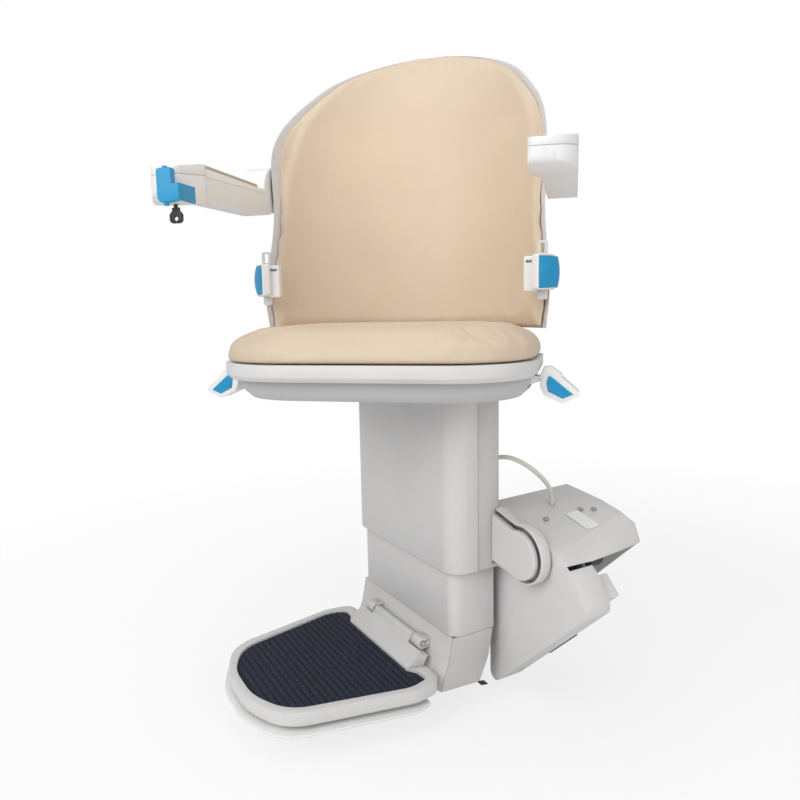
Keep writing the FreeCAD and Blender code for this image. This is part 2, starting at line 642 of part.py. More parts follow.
def footrest():
    """Tray with its raised hinge flange, ribbed mat and lifting safety plate."""
    mid = s.column_mid
    rear, nose = s.foot_rear_half, s.foot_nose_half
    edge = [(mid - nose, s.foot_nose + 30, 70), (mid - 40, s.foot_nose, 120), (mid + 40, s.foot_nose, 120),
            (mid + nose, s.foot_nose + 30, 70), (mid + rear, -78, 50), (mid + rear - 8, s.foot_rear, 20),
            (mid + s.hinge_half + 8, s.foot_rear, 4), (mid + s.hinge_half, -60, 2), (mid - s.hinge_half, -60, 2),
            (mid - s.hinge_half - 8, s.foot_rear, 4), (mid - rear + 8, s.foot_rear, 20), (mid - rear, -78, 50)]
    tray = prism(edge, "XY", s.foot_under, s.foot_rim - s.foot_under)
    tray = round_edges(tray, 5, flat_at("Z", s.foot_under))
    mat_edge = foot_ring(s.mat_inset)
    well = prism(mat_edge, "XY", -s.mat_thick, s.foot_rim + s.mat_thick + 1)
    flange = prism([(-60.5, s.foot_under + 4), (-60.5, 1, 3), (s.hinge_y - 10, s.hinge_z - 2, 6),
                    (s.hinge_y, s.hinge_z + s.hinge_barrel, 2), (s.hinge_y + 4, s.hinge_z - 7),
                    (-42, s.foot_under + 4, 8)], "YZ", mid - s.hinge_half + 1, 2 * s.hinge_half - 2)
    barrel = rod(Vector(mid - 58, s.hinge_y, s.hinge_z), Vector(mid + 58, s.hinge_y, s.hinge_z), s.hinge_barrel)
    clear = [rod(Vector(mid + a, s.hinge_y, s.hinge_z), Vector(mid + b, s.hinge_y, s.hinge_z), 12.5)
             for a, b in ((-99, -58), (58, 99))]
    bore = rod(Vector(mid - 120, s.hinge_y, s.hinge_z), Vector(mid + 120, s.hinge_y, s.hinge_z),
               s.hinge_pin + s.running)
    tray = tray.fuse(flange).cut(well).cut(clear[0]).cut(clear[1]).fuse(barrel).cut(bore)
    solid("footrest_tray", tray.removeSplitter(), FIXED)
    mat = prism(foot_ring(s.mat_inset + 0.8, rear_line=-63.5), "XY", -s.mat_thick, s.mat_thick - 1.6)
    rib_count = 24
    pitch = (abs(s.foot_nose) - 60) / rib_count
    ribs = []
    for number in range(rib_count):
        y = -62 - pitch * (number + 0.5)
        ribs.append(block(mid - 150, mid + 150, y - pitch * 0.3, y + pitch * 0.3, -1.7, 0))
    ribbing = ribs[0].multiFuse(ribs[1:]).common(prism(foot_ring(s.mat_inset + 3), "XY", -2, 3))
    solid("footrest_mat", mat.fuse(ribbing), FIXED)

    toe_front = [(s.sleeve_front - 0.3, s.sleeve_low), (s.sleeve_front - 8.3, 10, 60),
                 (s.sleeve_front - 22.3, s.foot_low), (40, s.foot_low), (40, s.sleeve_low)]
    toe_room = prism(toe_front, "YZ", mid - 120, 240)
    lugs = []
    for x in (mid - 84, mid + 62):
        lug = rod(Vector(x, s.hinge_y, s.hinge_z), Vector(x + 22, s.hinge_y, s.hinge_z), 9)
        foot = block(x, x + 22, s.hinge_y, s.sleeve_front - 2, s.hinge_z - 8, s.hinge_z + 8).cut(toe_room)
        hole = rod(Vector(x - 1, s.hinge_y, s.hinge_z), Vector(x + 23, s.hinge_y, s.hinge_z),
                   s.hinge_pin + s.running)
        lugs.append(lug.fuse(foot).cut(hole).removeSplitter())
    solid("hinge_lugs", Part.makeCompound(lugs), FIXED)
    pin = rod(Vector(mid - 88, s.hinge_y, s.hinge_z), Vector(mid + 88, s.hinge_y, s.hinge_z), s.hinge_pin)
    solid("hinge_pin", round_edges(pin, 1), FIXED)

    plate = prism(foot_ring(-7, rear_line=-66), "XY", s.foot_under - s.plate_play - s.plate_thick, s.plate_thick)
    plate = round_edges(plate, 1.5)
    posts = []
    for x, y in ((-90, -90), (90, -90), (-66, -240), (66, -240)):
        posts.append(Part.makeCylinder(4, s.plate_play + 9, Vector(mid + x, y, s.foot_under - s.plate_play - 1)))
    holes = [Part.makeCylinder(4.3, 16, Vector(p.BoundBox.Center.x, p.BoundBox.Center.y, s.foot_under - 1))
             for p in posts]
    solid("safety_plate", plate.fuse(posts).removeSplitter(), FIXED)
    tray = NODES["footrest_tray"].Shape.copy()
    tray.Placement = Placement()
    for hole in holes:
        tray = tray.cut(hole.common(block(-300, 300, -400, 0, s.foot_under - 1, -s.mat_thick - 0.4)))
    NODES["footrest_tray"].Shape = tray
    NODES["footrest_tray"].Placement = FIXED


def foot_ring(inset, rear_line=-62.0):
    """Outline of the footrest drawn in by a distance, straight at the hinge."""
    mid = s.column_mid
    rear, nose = s.foot_rear_half - inset, s.foot_nose_half - inset
    front = s.foot_nose + inset
    return [(mid - nose, front + 30, 64), (mid - 40, front, 110), (mid + 40, front, 110),
            (mid + nose, front + 30, 64), (mid + rear, -82, 44), (mid + rear - 8, rear_line + 12, 10),
            (mid + s.hinge_half + 12, rear_line + 10, 4), (mid + s.hinge_half - 4, rear_line, 4),
            (mid - s.hinge_half + 4, rear_line, 4), (mid - s.hinge_half - 12, rear_line + 10, 4),
            (mid - rear + 8, rear_line + 12, 10), (mid - rear, -82, 44)]


HUB_Y = math.hypot(s.swivel_x, s.swivel_y)


def seat_base():
    """Turntable, frame, tub and latch that the seat stands on."""
    hub = Vector(0, HUB_Y, 0)
    disc = Part.makeCylinder(s.turntable_radius, s.base_low + 3 - 414.6, hub + Vector(0, 0, 414.6))
    boss = Part.makeCylinder(28, 6, hub + Vector(0, 0, 409.1))
    disc = disc.fuse(boss).cut(Part.makeCylinder(s.spigot_radius + s.running, 30, hub + Vector(0, 0, 400)))
    disc = disc.cut(Part.makeCylinder(s.latch_radius + 0.1, 30, Vector(0, s.latch_y, 400)))
    solid("swivel_plate", disc.removeSplitter(), TURNED)

    deck_low = s.base_low + 3
    deck = prism([(-s.frame_half, -150, 20), (s.frame_half, -150, 20), (s.frame_half, 60, 30), (120, 104, 20),
                  (-120, 104, 20), (-s.frame_half, 60, 30)], "XY", deck_low, s.frame_thick)
    deck = deck.cut(Part.makeCylinder(s.spigot_radius + 1, 30, hub + Vector(0, 0, 410)))
    deck = deck.cut(Part.makeCylinder(s.latch_radius + 0.6, 30, Vector(0, s.latch_y, 410)))
    lever_x = s.base_half - s.lever_inset
    bearings = []
    for side in (-1, 1):
        for x in (s.runner_x - 4, s.runner_x + s.runner_wide + 1):
            near, far = sorted((side * x, side * (x + 3)))
            deck = deck.fuse(block(near, far, -140, 50, deck_low + 5, 433))
        for y in (-120, 36):
            near, far = sorted((side * 158, side * (lever_x + 8)))
            ear = block(near, far, y, y + 10, deck_low + s.frame_thick, 441)
            bearings.append(ear.cut(rod(Vector(side * lever_x, y - 5, s.lever_axis_z),
                                        Vector(side * lever_x, y + 15, s.lever_axis_z),
                                        s.lever_shaft + s.running)))
    solid("lever_bearings", Part.makeCompound(bearings), TURNED)
    solid("seat_frame", deck.removeSplitter(), TURNED)

    def tub(half, low_cut):
        return [(-half, -s.column_half - 92 + low_cut, 106 - low_cut), (half, -s.column_half - 92 + low_cut,
                                                                         106 - low_cut),
                (half, 112 - low_cut * 0.2, 80), (-half, 112 - low_cut * 0.2, 80)]

    draw = s.base_draw
    outside = loft([wire(tub(s.base_half - draw, draw), level=s.base_low),
                    wire(tub(s.base_half - 4, 5), level=s.base_low + 10),
                    wire(tub(s.base_half, 0), level=s.base_high - 0.6)])
    inside = loft([wire(tub(s.base_half - draw - 3, draw + 3), level=s.base_low + 3),
                   wire(tub(s.base_half - 7, 8), level=s.base_low + 10.5),
                   wire(tub(s.base_half - 3, 3), level=s.base_high + 0.1)])
    tub_shape = outside.cut(inside).cut(Part.makeCylinder(s.turntable_radius + 2, 9, hub + Vector(0, 0, 415)))
    for side in (-1, 1):
        near, far = sorted((side * (s.base_half - 22), side * (s.base_half + 10)))
        tub_shape = tub_shape.cut(block(near, far, s.lever_y - 13, s.lever_y + 13, 427, 450))
    for x in (-44, 44):
        tub_shape = tub_shape.cut(block(x - 6, x + 6, 90, 104, 440, 450))
    solid("seat_base_tub", tub_shape, TURNED)

    pin = Part.makeCylinder(s.latch_radius, 24, Vector(0, s.latch_y, 409.4))
    bar_half = s.base_half - s.lever_inset - 26
    bar = block(-bar_half, bar_half, 55.5, 63.5, 432, 437)
    pin = pin.fuse(bar).removeSplitter()
    solid("latch_pin", pin, TURNED)


def lever(side):
    """Swivel lever: shaft with a crank finger and an arched paddle, with a coloured pad."""
    edge = s.base_half
    x = edge - s.lever_inset
    axis = s.lever_axis_z
    shaft = rod(Vector(x, s.lever_y - 10, axis), Vector(x, 63, axis), s.lever_shaft)
    finger = block(x - 28, x, 56, 63, 428, 431.7)

    def beside(points, start, deep):
        return prism([(edge + out, z) for out, z in points], "XZ", start, deep)

    stem = beside([(x - 3 - edge, axis - 3), (x + 8 - edge, axis - 3), (0, 434), (12, 438), (22, 446), (32, 440),
                   (36, 446), (22, 456), (13, 455), (10, 448), (8.5, 444), (-12, 443.6), (x + 4 - edge, axis + 5),
                   (x - 3 - edge, axis + 4)], s.lever_y - 10, 20)
    paddle = beside([(10, 446), (15, 456), (26, 452), (57, 424), (57, 420), (38, 410), (34, 411), (14, 420),
                     (9, 430)], s.lever_y - 13, 26)
    hollow = beside([(13, 439), (16, 449), (23, 446), (50, 422), (37, 415), (16, 424)], s.lever_y - 9, 30)
    paddle = paddle.fuse(stem).cut(hollow)
    paddle = paddle.cut(beside([(17, 437), (19, 445), (24, 443), (50, 421.6), (37, 416), (19, 425)],
                               s.lever_y - 14, 5))
    whole = paddle.fuse([shaft, finger]).removeSplitter()
    inlay = beside([(17.3, 436.6), (19.3, 444.5), (23.8, 442.6), (49.4, 421.5), (36.9, 416.4), (19.3, 425.2)],
                   s.lever_y - 14.2, 4.8)
    if side < 0:
        whole, inlay = mirrored(whole), mirrored(inlay)
    name = "left" if side < 0 else "right"
    solid(f"lever_{name}", whole, TURNED)
    solid(f"lever_{name}_inlay", inlay, TURNED)


BACK = [(500, 207), (522, 209), (548, 211), (600, 208), (660, 203), (710, 203), (765, 204), (818, 197), (870, 174), (905, 150),
        (930, 120), (947, 86), (957, 52), (962, 24)]


def back_centre(z):
    """Depth of the backrest's face on its middle line."""
    heights = [(480, 56), (672, 96), (755, 118), (875, 158), (970, 198)]
    return level_on(heights, z)


def back_radius(z):
    """Radius of the backrest's hollow face at a height."""
    return level_on([(480, 259), (755, 223), (970, 223)], z)


def face_depth(z, x):
    """Depth of the backrest's face at a height and a distance from the middle."""
    radius = back_radius(z)
    return back_centre(z) - radius + math.sqrt(radius * radius - x * x)


def back_section(z, half):
    """Cushion outline at one height: hollow face, drawn-in sides, hollow rear."""
    inset = min(9.0, half * 0.3)
    front_y = face_depth(z, half - inset)
    side_y = face_depth(z, half)
    mid = back_centre(z)
    thick = s.back_cushion_thick
    a = [Vector(-(half - inset), front_y, z), Vector(0, mid, z), Vector(half - inset, front_y, z),
         Vector(half, side_y + 9, z), Vector(half - 1.5, side_y + 17, z), Vector(0, mid + thick, z),
         Vector(-(half - 1.5), side_y + 17, z), Vector(-half, side_y + 9, z)]
    edges = [Part.Arc(a[0], a[1], a[2]).toShape(), Part.LineSegment(a[2], a[3]).toShape(),
             Part.LineSegment(a[3], a[4]).toShape(), Part.Arc(a[4], a[5], a[6]).toShape(),
             Part.LineSegment(a[6], a[7]).toShape(), Part.LineSegment(a[7], a[0]).toShape()]
    return Part.Wire(edges)


def rear_arc(z, half):
    """Middle depth and radius of the cushion's rear at one height."""
    top = back_centre(z) + s.back_cushion_thick
    sag = top - (face_depth(z, half) + 17)
    reach = half - 1.5
    return top, (reach * reach + sag * sag) / (2 * sag)


def crescent(z, half, front_mid, rear_mid, front_side, rear_side, level=None):
    """Flat outline between two arcs at one height."""
    z = z if level is None else level
    a = [Vector(-half, front_side, z), Vector(0, front_mid, z), Vector(half, front_side, z),
         Vector(half, rear_side, z), Vector(0, rear_mid, z), Vector(-half, rear_side, z)]
    edges = [Part.Arc(a[0], a[1], a[2]).toShape(), Part.LineSegment(a[2], a[3]).toShape(),
             Part.Arc(a[3], a[4], a[5]).toShape(), Part.LineSegment(a[5], a[0]).toShape()]
    return Part.Wire(edges)


def shell_section(z, half, wall, lift=0.0):
    """Outline of the rear shell, drawn in by a wall's thickness."""
    mid, radius = rear_arc(z, half)
    mid += 0.3 + 0.5 * max(lift, 0.0) + (0.6 if z > 850 else 0.0)
    wide = min(half + 4.0 - 4.0 * max(0.0, (z - 900) / 62), radius - 0.5)
    front = mid + 0.4
    front_side = front - radius + math.sqrt(radius * radius - wide * wide)
    rear_mid = mid + s.back_shell_thick * min(1.0, half / 90)
    rear_side = front_side + 6
    if wall:
        sag = rear_mid - rear_side
        big = (wide * wide + sag * sag) / (2 * sag)
        inner = wide - 4 * wall
        front_side = front - radius + math.sqrt(radius * radius - inner * inner)
        rear_side = rear_mid - big + math.sqrt(big * big - inner * inner)
        if rear_side - wall < front_side + wall + 1:
            return None
        return crescent(z, inner, front + wall, rear_mid - wall, front_side + wall, rear_side - wall, z + lift)
    return crescent(z, wide, front, rear_mid, front_side, rear_side, z + lift)


def bar_shape(extra):
    """Welded back frame: spine, curved cross bar and the two arm pins."""
    thick = s.spine_thick / 2 + extra
    centre = [(deck_y, z) for deck_y, z in ((100, 421.0 + 6.0), (100, 505), (134, 673), (150, 738 + extra))]
    spine = prism([(y - thick, z) for y, z in centre] + [(y + thick, z) for y, z in reversed(centre)], "YZ",
                  -s.spine_half - extra, 2 * (s.spine_half + extra))
    low, high = s.arm_pivot_z - 16 - extra, s.arm_pivot_z + 16 + extra
    middle, side_y, plate_x = 150.0, 29.0, s.arm_inner - 3.6
    bar = Part.Face(crescent(low, 192.0, middle - thick, middle + thick, side_y - thick, side_y + thick)).extrude(
        Vector(0, 0, high - low))
    spine = spine.fuse(bar)
    for side in (-1, 1):
        near, far = sorted((side * 188, side * (s.arm_inner - 0.6)))
        end = block(near, far, side_y - thick, side_y + thick, low, high)
        near, far = sorted((side * (plate_x - extra), side * (s.arm_inner - 0.6)))
        cheek = block(near, far, -10 - extra, side_y + thick, low, high)
        pin = rod(Vector(side * plate_x, s.arm_pivot_y, s.arm_pivot_z),
                  Vector(side * 247, s.arm_pivot_y, s.arm_pivot_z), s.arm_pin_radius + extra)
        spine = spine.fuse([end, cheek, pin])
    return spine.removeSplitter()


def backrest():
    """Back frame, hollow rear shell, hollowed cushion and the belt holders beside it."""
    frame = bar_shape(0.0)
    solid("back_frame", frame, TURNED)
    room = bar_shape(0.4)
    cushion = loft([back_section(z, half) for z, half in BACK], ruled=False).cut(room)
    solid("back_cushion", cushion, TURNED)
    outer = []
    inner = []
    for z, half in BACK:
        outer.append(shell_section(z, half, 0))
        hollow = shell_section(z, half, s.shell, -3.0 if z > 900 else 0.0)
        if hollow and half > 60:
            inner.append(hollow)
    shell = loft(outer, ruled=False)
    inner[0] = inner[0].copy()
    inner[0].translate(Vector(0, 0, -2))
    shell = shell.cut(loft(inner, ruled=False)).cut(room)
    solid("back_shell", shell, TURNED)

    plates, holders = [], []
    for side in (-1, 1):
        plate = prism([(199, 540, 3), (213, 540, 3), (213, 620, 3), (199, 620, 3)], "XZ", s.belt_y - 3, 3)
        plate = plate.cut(block(202.5, 209.5, s.belt_y - 5, s.belt_y + 2, 604, 617))
        wing = block(213, 218.6, s.belt_y - 3, s.belt_y, 562, 592)
        cheek = block(215.8, 218.6, s.belt_y - 3, -8, 562, 592)
        pressed = Part.makeBox(39, 43, 12, Vector(-19.5, -21.5, -7))
        pressed.Placement = button_place()
        plate = plate.fuse([wing, cheek]).cut(pressed).removeSplitter()
        body = block(181, 199.5, s.belt_y - 14, s.belt_y - 3.1, 551, 599)
        body = round_edges(body, 2.5, lambda e: e.BoundBox.YLength > 5 or e.BoundBox.YMax < s.belt_y - 13)
        body = body.cut(block(184, 197, s.belt_y - 20, s.belt_y - 6, 590, 593.5))
        cup = round_edges(Part.makeBox(44, 48, 14, Vector(-22, -24, -14)), 4)
        cup = cup.cut(Part.makeBox(39.2, 43.2, 12, Vector(-19.6, -21.6, -8.4)))
        cup = cup.cut(Part.makeBox(60, 60, 30, Vector(-30, -30, -1.2)))
        cup.Placement = button_place()
        body = body.fuse(cup.cut(block(150, 260, s.belt_y - 3.1, 40, 500, 640))).removeSplitter()
        plates.append(plate if side > 0 else mirrored(plate))
        holders.append(body if side > 0 else mirrored(body))
    solid("belt_plates", Part.makeCompound(plates), TURNED)
    solid("belt_housings", Part.makeCompound(holders), TURNED)
    for side, name in ((-1, "left"), (1, "right")):
        dome = Part.makeSphere(66, Vector(0, 0, -62.4)).common(Part.makeBox(38.4, 42.4, 12,
                                                                         Vector(-19.2, -21.2, -3.4)))
        dome.Placement = button_place()
        solid(f"belt_button_{name}", dome if side > 0 else mirrored(dome), TURNED)


def button_place():
    """Frame of the belt button: Z out of its face, Y up."""
    out = Vector(math.sin(math.radians(50)), -math.cos(math.radians(50)), 0)
    up = Vector(0, 0, 1)
    return Placement(Vector(216, s.belt_y - 13, s.belt_z), Rotation(up.cross(out), up, out, "ZYX"))


def seat():
    """Sliding runners, seat tray with its hinge ears, and the cushion."""
    runners = []
    for side in (-1, 1):
        x = s.runner_x if side > 0 else -s.runner_x - s.runner_wide
        shape = prism([(8, 427.3), (40, 427.3, 2), (38, 440, 4), (37.4, 462.4, 7), (22.6, 462.4, 7), (22, 440, 4)],
                      "YZ", x, s.runner_wide)
        near, far = side * 108.0, side * (s.runner_x + 1)
        pin = rod(Vector(near, s.seat_pin_y, s.seat_pin_z), Vector(far, s.seat_pin_y, s.seat_pin_z),
                  s.seat_pin_radius)
        runners.append(shape.fuse(pin).removeSplitter())
    solid("seat_runners", Part.makeCompound(runners), TURNED)

    def plan(grow):
        half = s.seat_half + grow
        nose = s.seat_nose - grow
        corner = s.seat_corner + grow
        reach = math.sqrt(0.5) * corner
        knee = (Vector(-half + corner, nose + corner, 0), Vector(half - corner, nose + corner, 0))
        return [Part.LineSegment(Vector(-half, s.seat_wing, 0), Vector(-half, nose + corner, 0)),
                Part.Arc(Vector(-half, nose + corner, 0), knee[0] + Vector(-reach, -reach, 0),
                         Vector(-half + corner, nose, 0)),
                Part.LineSegment(Vector(-half + corner, nose, 0), Vector(half - corner, nose, 0)),
                Part.Arc(Vector(half - corner, nose, 0), knee[1] + Vector(reach, -reach, 0),
                         Vector(half, nose + corner, 0)),
                Part.LineSegment(Vector(half, nose + corner, 0), Vector(half, s.seat_wing, 0)),
                Part.Arc(Vector(half, s.seat_wing, 0), Vector(0, s.seat_rear + grow, 0),
                         Vector(-half, s.seat_wing, 0))]

    tray = loft([wire(plan(-6), level=s.base_high), wire(plan(0), level=s.base_high + 6),
                 wire(plan(0), level=s.tray_high)])
    pan = loft([wire(plan(-9), level=s.base_high - 0.1), wire(plan(-3.5), level=s.base_high + 6),
                wire(plan(-3.5), level=s.tray_high - 3)])
    tray = tray.cut(pan)
    for side in (-1, 1):
        near, far = sorted((side * 107, side * 122))
        ear = prism([(-14, 463.2), (24, 463.2, 2), (38, 463, 7.4), (38, 447, 7.4), (12, 447, 6), (-14, 455)], "YZ",
                    near, far - near)
        hole = rod(Vector(side * 100, s.seat_pin_y, s.seat_pin_z), Vector(side * 130, s.seat_pin_y, s.seat_pin_z),
                   s.seat_pin_radius + s.running)
        tray = tray.fuse(ear).cut(hole)
    solid("seat_tray", tray.removeSplitter(), TURNED)
    low = s.cushion_seam - 0.5
    edge, crown = s.cushion_seam + s.cushion_side, s.cushion_seam + s.cushion_rise
    layers = [(-3, low), (-0.5, low + 3), (-0.5, edge - 6), (-5, edge + 3), (-16, edge + 10), (-44, crown - 3),
              (-90, crown)]
    solid("seat_cushion", loft([wire(plan(grow), level=z) for grow, z in layers]), TURNED)


def arm(side):
    """Folding arm: lower and upper shells, soft pad, and the controls on the left one."""
    name = "left" if side < 0 else "right"
    inner, outer = s.arm_inner, s.arm_outer
    plan = prism([(inner - 10, s.pod_front, 10), (outer + 1, s.pod_front, 36), (outer + 1, -224, 16),
                  (outer, -205, 10), (outer, 40), (inner, 40), (inner, -205, 10), (inner - 10, -226, 16)],
                 "XY", 600, 200)
    under, floor = [(s.pod_front + 2, 673, 12), (-262, 663, 30), (-218, 668, 30), (-186, 675, 30)], 680
    if side > 0:
        under, floor = [(s.pod_front + 2, 677, 8), (-250, 675, 30), (-186, 676, 30)], 681
    lower = prism([(s.pod_front, 692.7)] + under + [(-24, 678, 20), (0, 686, 6), (0, 709), (-27, 708.7),
                                                    (-212, 702.7)], "YZ", 195, 70)
    knuckle = rod(Vector(inner, s.arm_pivot_y, s.arm_pivot_z), Vector(outer, s.arm_pivot_y, s.arm_pivot_z),
                  s.knuckle_radius)
    knuckle = round_edges(knuckle, 3)
    cavity = block(inner + 4, outer - 4, s.pod_front + 18, -42, floor, 720)
    lower = lower.common(plan).cut(cavity).fuse(knuckle)
    room = rod(Vector(inner - 2, s.arm_pivot_y, s.arm_pivot_z), Vector(outer - 3.6, s.arm_pivot_y, s.arm_pivot_z),
               s.arm_pin_radius + s.running)
    lower = lower.cut(room).removeSplitter()
    if side < 0:
        lower = lower.cut(rod(Vector(s.key_x, s.key_y, 640), Vector(s.key_x, s.key_y, 675), 2.54))
    upper = prism([(s.pod_front, 693.2), (s.pod_front + 1, 702, 5), (-216, 717, 4), (-211, 714), (-44, 714),
                   (-36, 716, 4), (-20, 709.3), (-27, 709.2), (-212, 703.2)], "YZ", 195, 70)
    gap = rod(Vector(inner - 12, s.arm_pivot_y, s.arm_pivot_z), Vector(outer + 9, s.arm_pivot_y, s.arm_pivot_z),
              s.knuckle_radius + 0.4)
    hollow = prism([(s.pod_front + 18, 690), (s.pod_front + 18, 701), (-216, 711), (-60, 710.5), (-60, 690)], "YZ", inner + 4,
                   outer - inner - 8)
    upper = upper.common(plan).cut(gap).cut(hollow)
    pad = prism([(inner + 3, -209, 8), (outer - 3, -209, 8), (outer - 3, -46, 8), (inner + 3, -46, 8)], "XY",
                714.4, s.pad_high - 714.4)
    pad = round_edges(pad, 2.4, flat_at("Z", s.pad_high))
    for label, shape in (("lower", lower), ("upper", upper), ("pad", pad)):
        solid(f"arm_{name}_{label}", shape if side > 0 else mirrored(shape), TURNED)


def controls():
    """Joystick and key switch in the pod of the left arm."""
    lip = prism([(-221, 698, 4), (-201, 698, 3), (-201, 680), (-192, 680), (-192, 661), (-221, 657, 8)], "XZ",
                s.pod_front - 12, 8)
    side = block(-196, -192, s.pod_front - 12, -266, 661, 680)
    toggle = round_edges(lip.fuse(side).removeSplitter(), 1.6, flat_at("Y", s.pod_front - 12))
    stalk = rod(Vector(-211, s.pod_front - 6, 686), Vector(-211, s.pod_front - 0.4, 686), 4)
    pivot = rod(Vector(-211, s.pod_front - 8, 655.5), Vector(-211, s.pod_front - 8, 700), 3)
    solid("joystick", toggle.fuse([stalk, pivot]).removeSplitter(), TURNED)
    tag = prism([(-232, 660), (-222, 660), (-222, 656, 2), (-218, 652, 4), (-218, 641, 5), (-236, 641, 5),
                 (-236, 652, 4), (-232, 656, 2)], "XZ", s.key_y - 1, 2.4)
    tag = tag.cut(prism([(-227, 650), (-223.5, 646.5), (-227, 643), (-230.5, 646.5)], "XZ", s.key_y - 3, 6))
    stem = rod(Vector(-s.key_x, s.key_y, 657), Vector(-s.key_x, s.key_y, 672), 2.5)
    solid("key", tag.fuse(stem).removeSplitter(), TURNED)


def cable():
    """Cable that hangs in a loop from the column to the carriage's lid."""
    points = [Vector(s.outlet_x, 60, s.outlet_z), Vector(s.outlet_x, 82, s.outlet_z), Vector(122, 99, 310), Vector(140, 122, 296),
              Vector(148, 150, 270), Vector(147, 163, 250), Vector(146, 165, 236), Vector(146, 165, 218)]
    path = []
    start = points[0]
    for back, corner, ahead in zip(points, points[1:], points[2:]):
        into, out = corner - back, ahead - corner
        turn = into.getAngle(out) / 2
        if turn < 1e-3:
            continue
        radius = 0.45 * min(into.Length, out.Length) / math.tan(turn)
        reach = radius * math.tan(turn)
        first = corner - into.normalize() * reach
        last = corner + out.normalize() * reach
        inward = (first + last) * 0.5 - corner
        centre = corner + inward.normalize() * (radius / math.cos(turn))
        middle = centre + (corner - centre).normalize() * radius
        if (first - start).Length > 1e-6:
            path.append(Part.LineSegment(start, first).toShape())
        path.append(Part.Arc(first, middle, last).toShape())
        start = last
    path.append(Part.LineSegment(start, points[-1]).toShape())
    way = Part.Wire(path)
    round_face = Part.Wire([Part.makeCircle(s.cable_radius, points[0], points[1] - points[0])])
    tube = way.makePipeShell([round_face], True, True)
    expected = math.pi * s.cable_radius ** 2 * way.Length
    print(f"cable {way.Length:.1f} mm long, volume {tube.Volume:.0f} of {expected:.0f}")
    solid("cable", tube, FIXED)


carriage()
column()
footrest()
seat_base()
lever(-1)
lever(1)
backrest()
seat()
arm(-1)
arm(1)
controls()
cable()
doc.recompute()
for thing in doc.Objects:
    if "Invalid" in thing.State or "Error" in thing.State:
        raise RuntimeError(f"{thing.Label} did not compute")
os.makedirs("parts", exist_ok=True)
for label, thing in NODES.items():
    if thing.Shape.isNull() or not thing.Shape.isValid():
        raise RuntimeError(f"{label} has no valid shape")
    thing.Shape.exportStep(f"parts/{label}.step")
    box = thing.Shape.BoundBox
    print(f"{label:22s} solids {len(thing.Shape.Solids)} volume {thing.Shape.Volume / 1000:9.1f} cm3 "
          f"x {box.XMin:.1f} {box.XMax:.1f} y {box.YMin:.1f} {box.YMax:.1f} z {box.ZMin:.1f} {box.ZMax:.1f}")
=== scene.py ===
"""Looks of the stairlift chair: upholstery, moulded covers, mat, cable, light and camera.

Lengths are metres. Places are written about the chair's middle line at the height of the
footrest mat (X level and up the stairs, Y to the wall, Z up) and moved to the frame, whose
origin lies on the rail's axis. The seat's own places are turned by 45 degrees.
"""
import json
import math

import bmesh
import bpy
from mathutils import Matrix, Vector


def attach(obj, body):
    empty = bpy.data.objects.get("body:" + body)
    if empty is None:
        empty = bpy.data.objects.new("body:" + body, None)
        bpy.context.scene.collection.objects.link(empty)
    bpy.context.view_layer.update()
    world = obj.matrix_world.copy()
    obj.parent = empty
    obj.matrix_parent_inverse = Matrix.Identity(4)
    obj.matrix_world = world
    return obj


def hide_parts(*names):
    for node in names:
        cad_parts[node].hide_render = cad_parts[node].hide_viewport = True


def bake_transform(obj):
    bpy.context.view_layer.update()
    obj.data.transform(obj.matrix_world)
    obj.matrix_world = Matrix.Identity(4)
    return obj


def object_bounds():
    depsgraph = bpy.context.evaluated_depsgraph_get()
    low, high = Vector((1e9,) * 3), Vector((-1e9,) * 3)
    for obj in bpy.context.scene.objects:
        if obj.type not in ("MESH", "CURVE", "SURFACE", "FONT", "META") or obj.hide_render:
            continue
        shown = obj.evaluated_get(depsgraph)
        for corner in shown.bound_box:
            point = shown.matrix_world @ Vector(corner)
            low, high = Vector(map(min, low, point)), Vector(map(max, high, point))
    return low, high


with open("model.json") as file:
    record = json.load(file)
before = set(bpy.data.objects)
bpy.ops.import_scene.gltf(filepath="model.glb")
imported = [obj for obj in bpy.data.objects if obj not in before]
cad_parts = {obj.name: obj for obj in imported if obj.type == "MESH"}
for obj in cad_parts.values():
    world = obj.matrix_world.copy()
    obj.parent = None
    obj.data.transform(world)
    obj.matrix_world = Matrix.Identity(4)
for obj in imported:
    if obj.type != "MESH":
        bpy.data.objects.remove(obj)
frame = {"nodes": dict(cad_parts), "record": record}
CAD_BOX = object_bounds()
NODES = frame["nodes"]

RAIL_RISE = math.radians(43.6)
ORIGIN_UP_RAIL = 0.136
RAIL_BELOW = 0.068
RAIL_DEPTH = 0.196
RAIL_X = ORIGIN_UP_RAIL * math.cos(RAIL_RISE) + RAIL_BELOW * math.sin(RAIL_RISE)
RAIL_Z = ORIGIN_UP_RAIL * math.sin(RAIL_RISE) - RAIL_BELOW * math.cos(RAIL_RISE)
TO_RAIL = Matrix.Translation((-RAIL_X, -RAIL_DEPTH, -RAIL_Z))
SEAT_TURN = math.radians(45)
TO_SEAT = TO_RAIL @ Matrix.Rotation(SEAT_TURN, 4, "Z")


# Meshes

def placed(name, data):
    """A new object in the scene."""
    made = bpy.data.objects.new(name, data)
    bpy.context.collection.objects.link(made)
    return made


def close_mesh(source, target, reach):
    """Join doubled vertices, turn the faces outward and write the result to a mesh."""
    shape = bmesh.new()
    shape.from_mesh(source)
    bmesh.ops.remove_doubles(shape, verts=shape.verts, dist=reach)
    bmesh.ops.recalc_face_normals(shape, faces=shape.faces)
    shape.to_mesh(target)
    shape.free()


def shade_smooth(mesh):
    """Smooth shading over a whole mesh."""
    for face in mesh.polygons:
        face.use_smooth = True


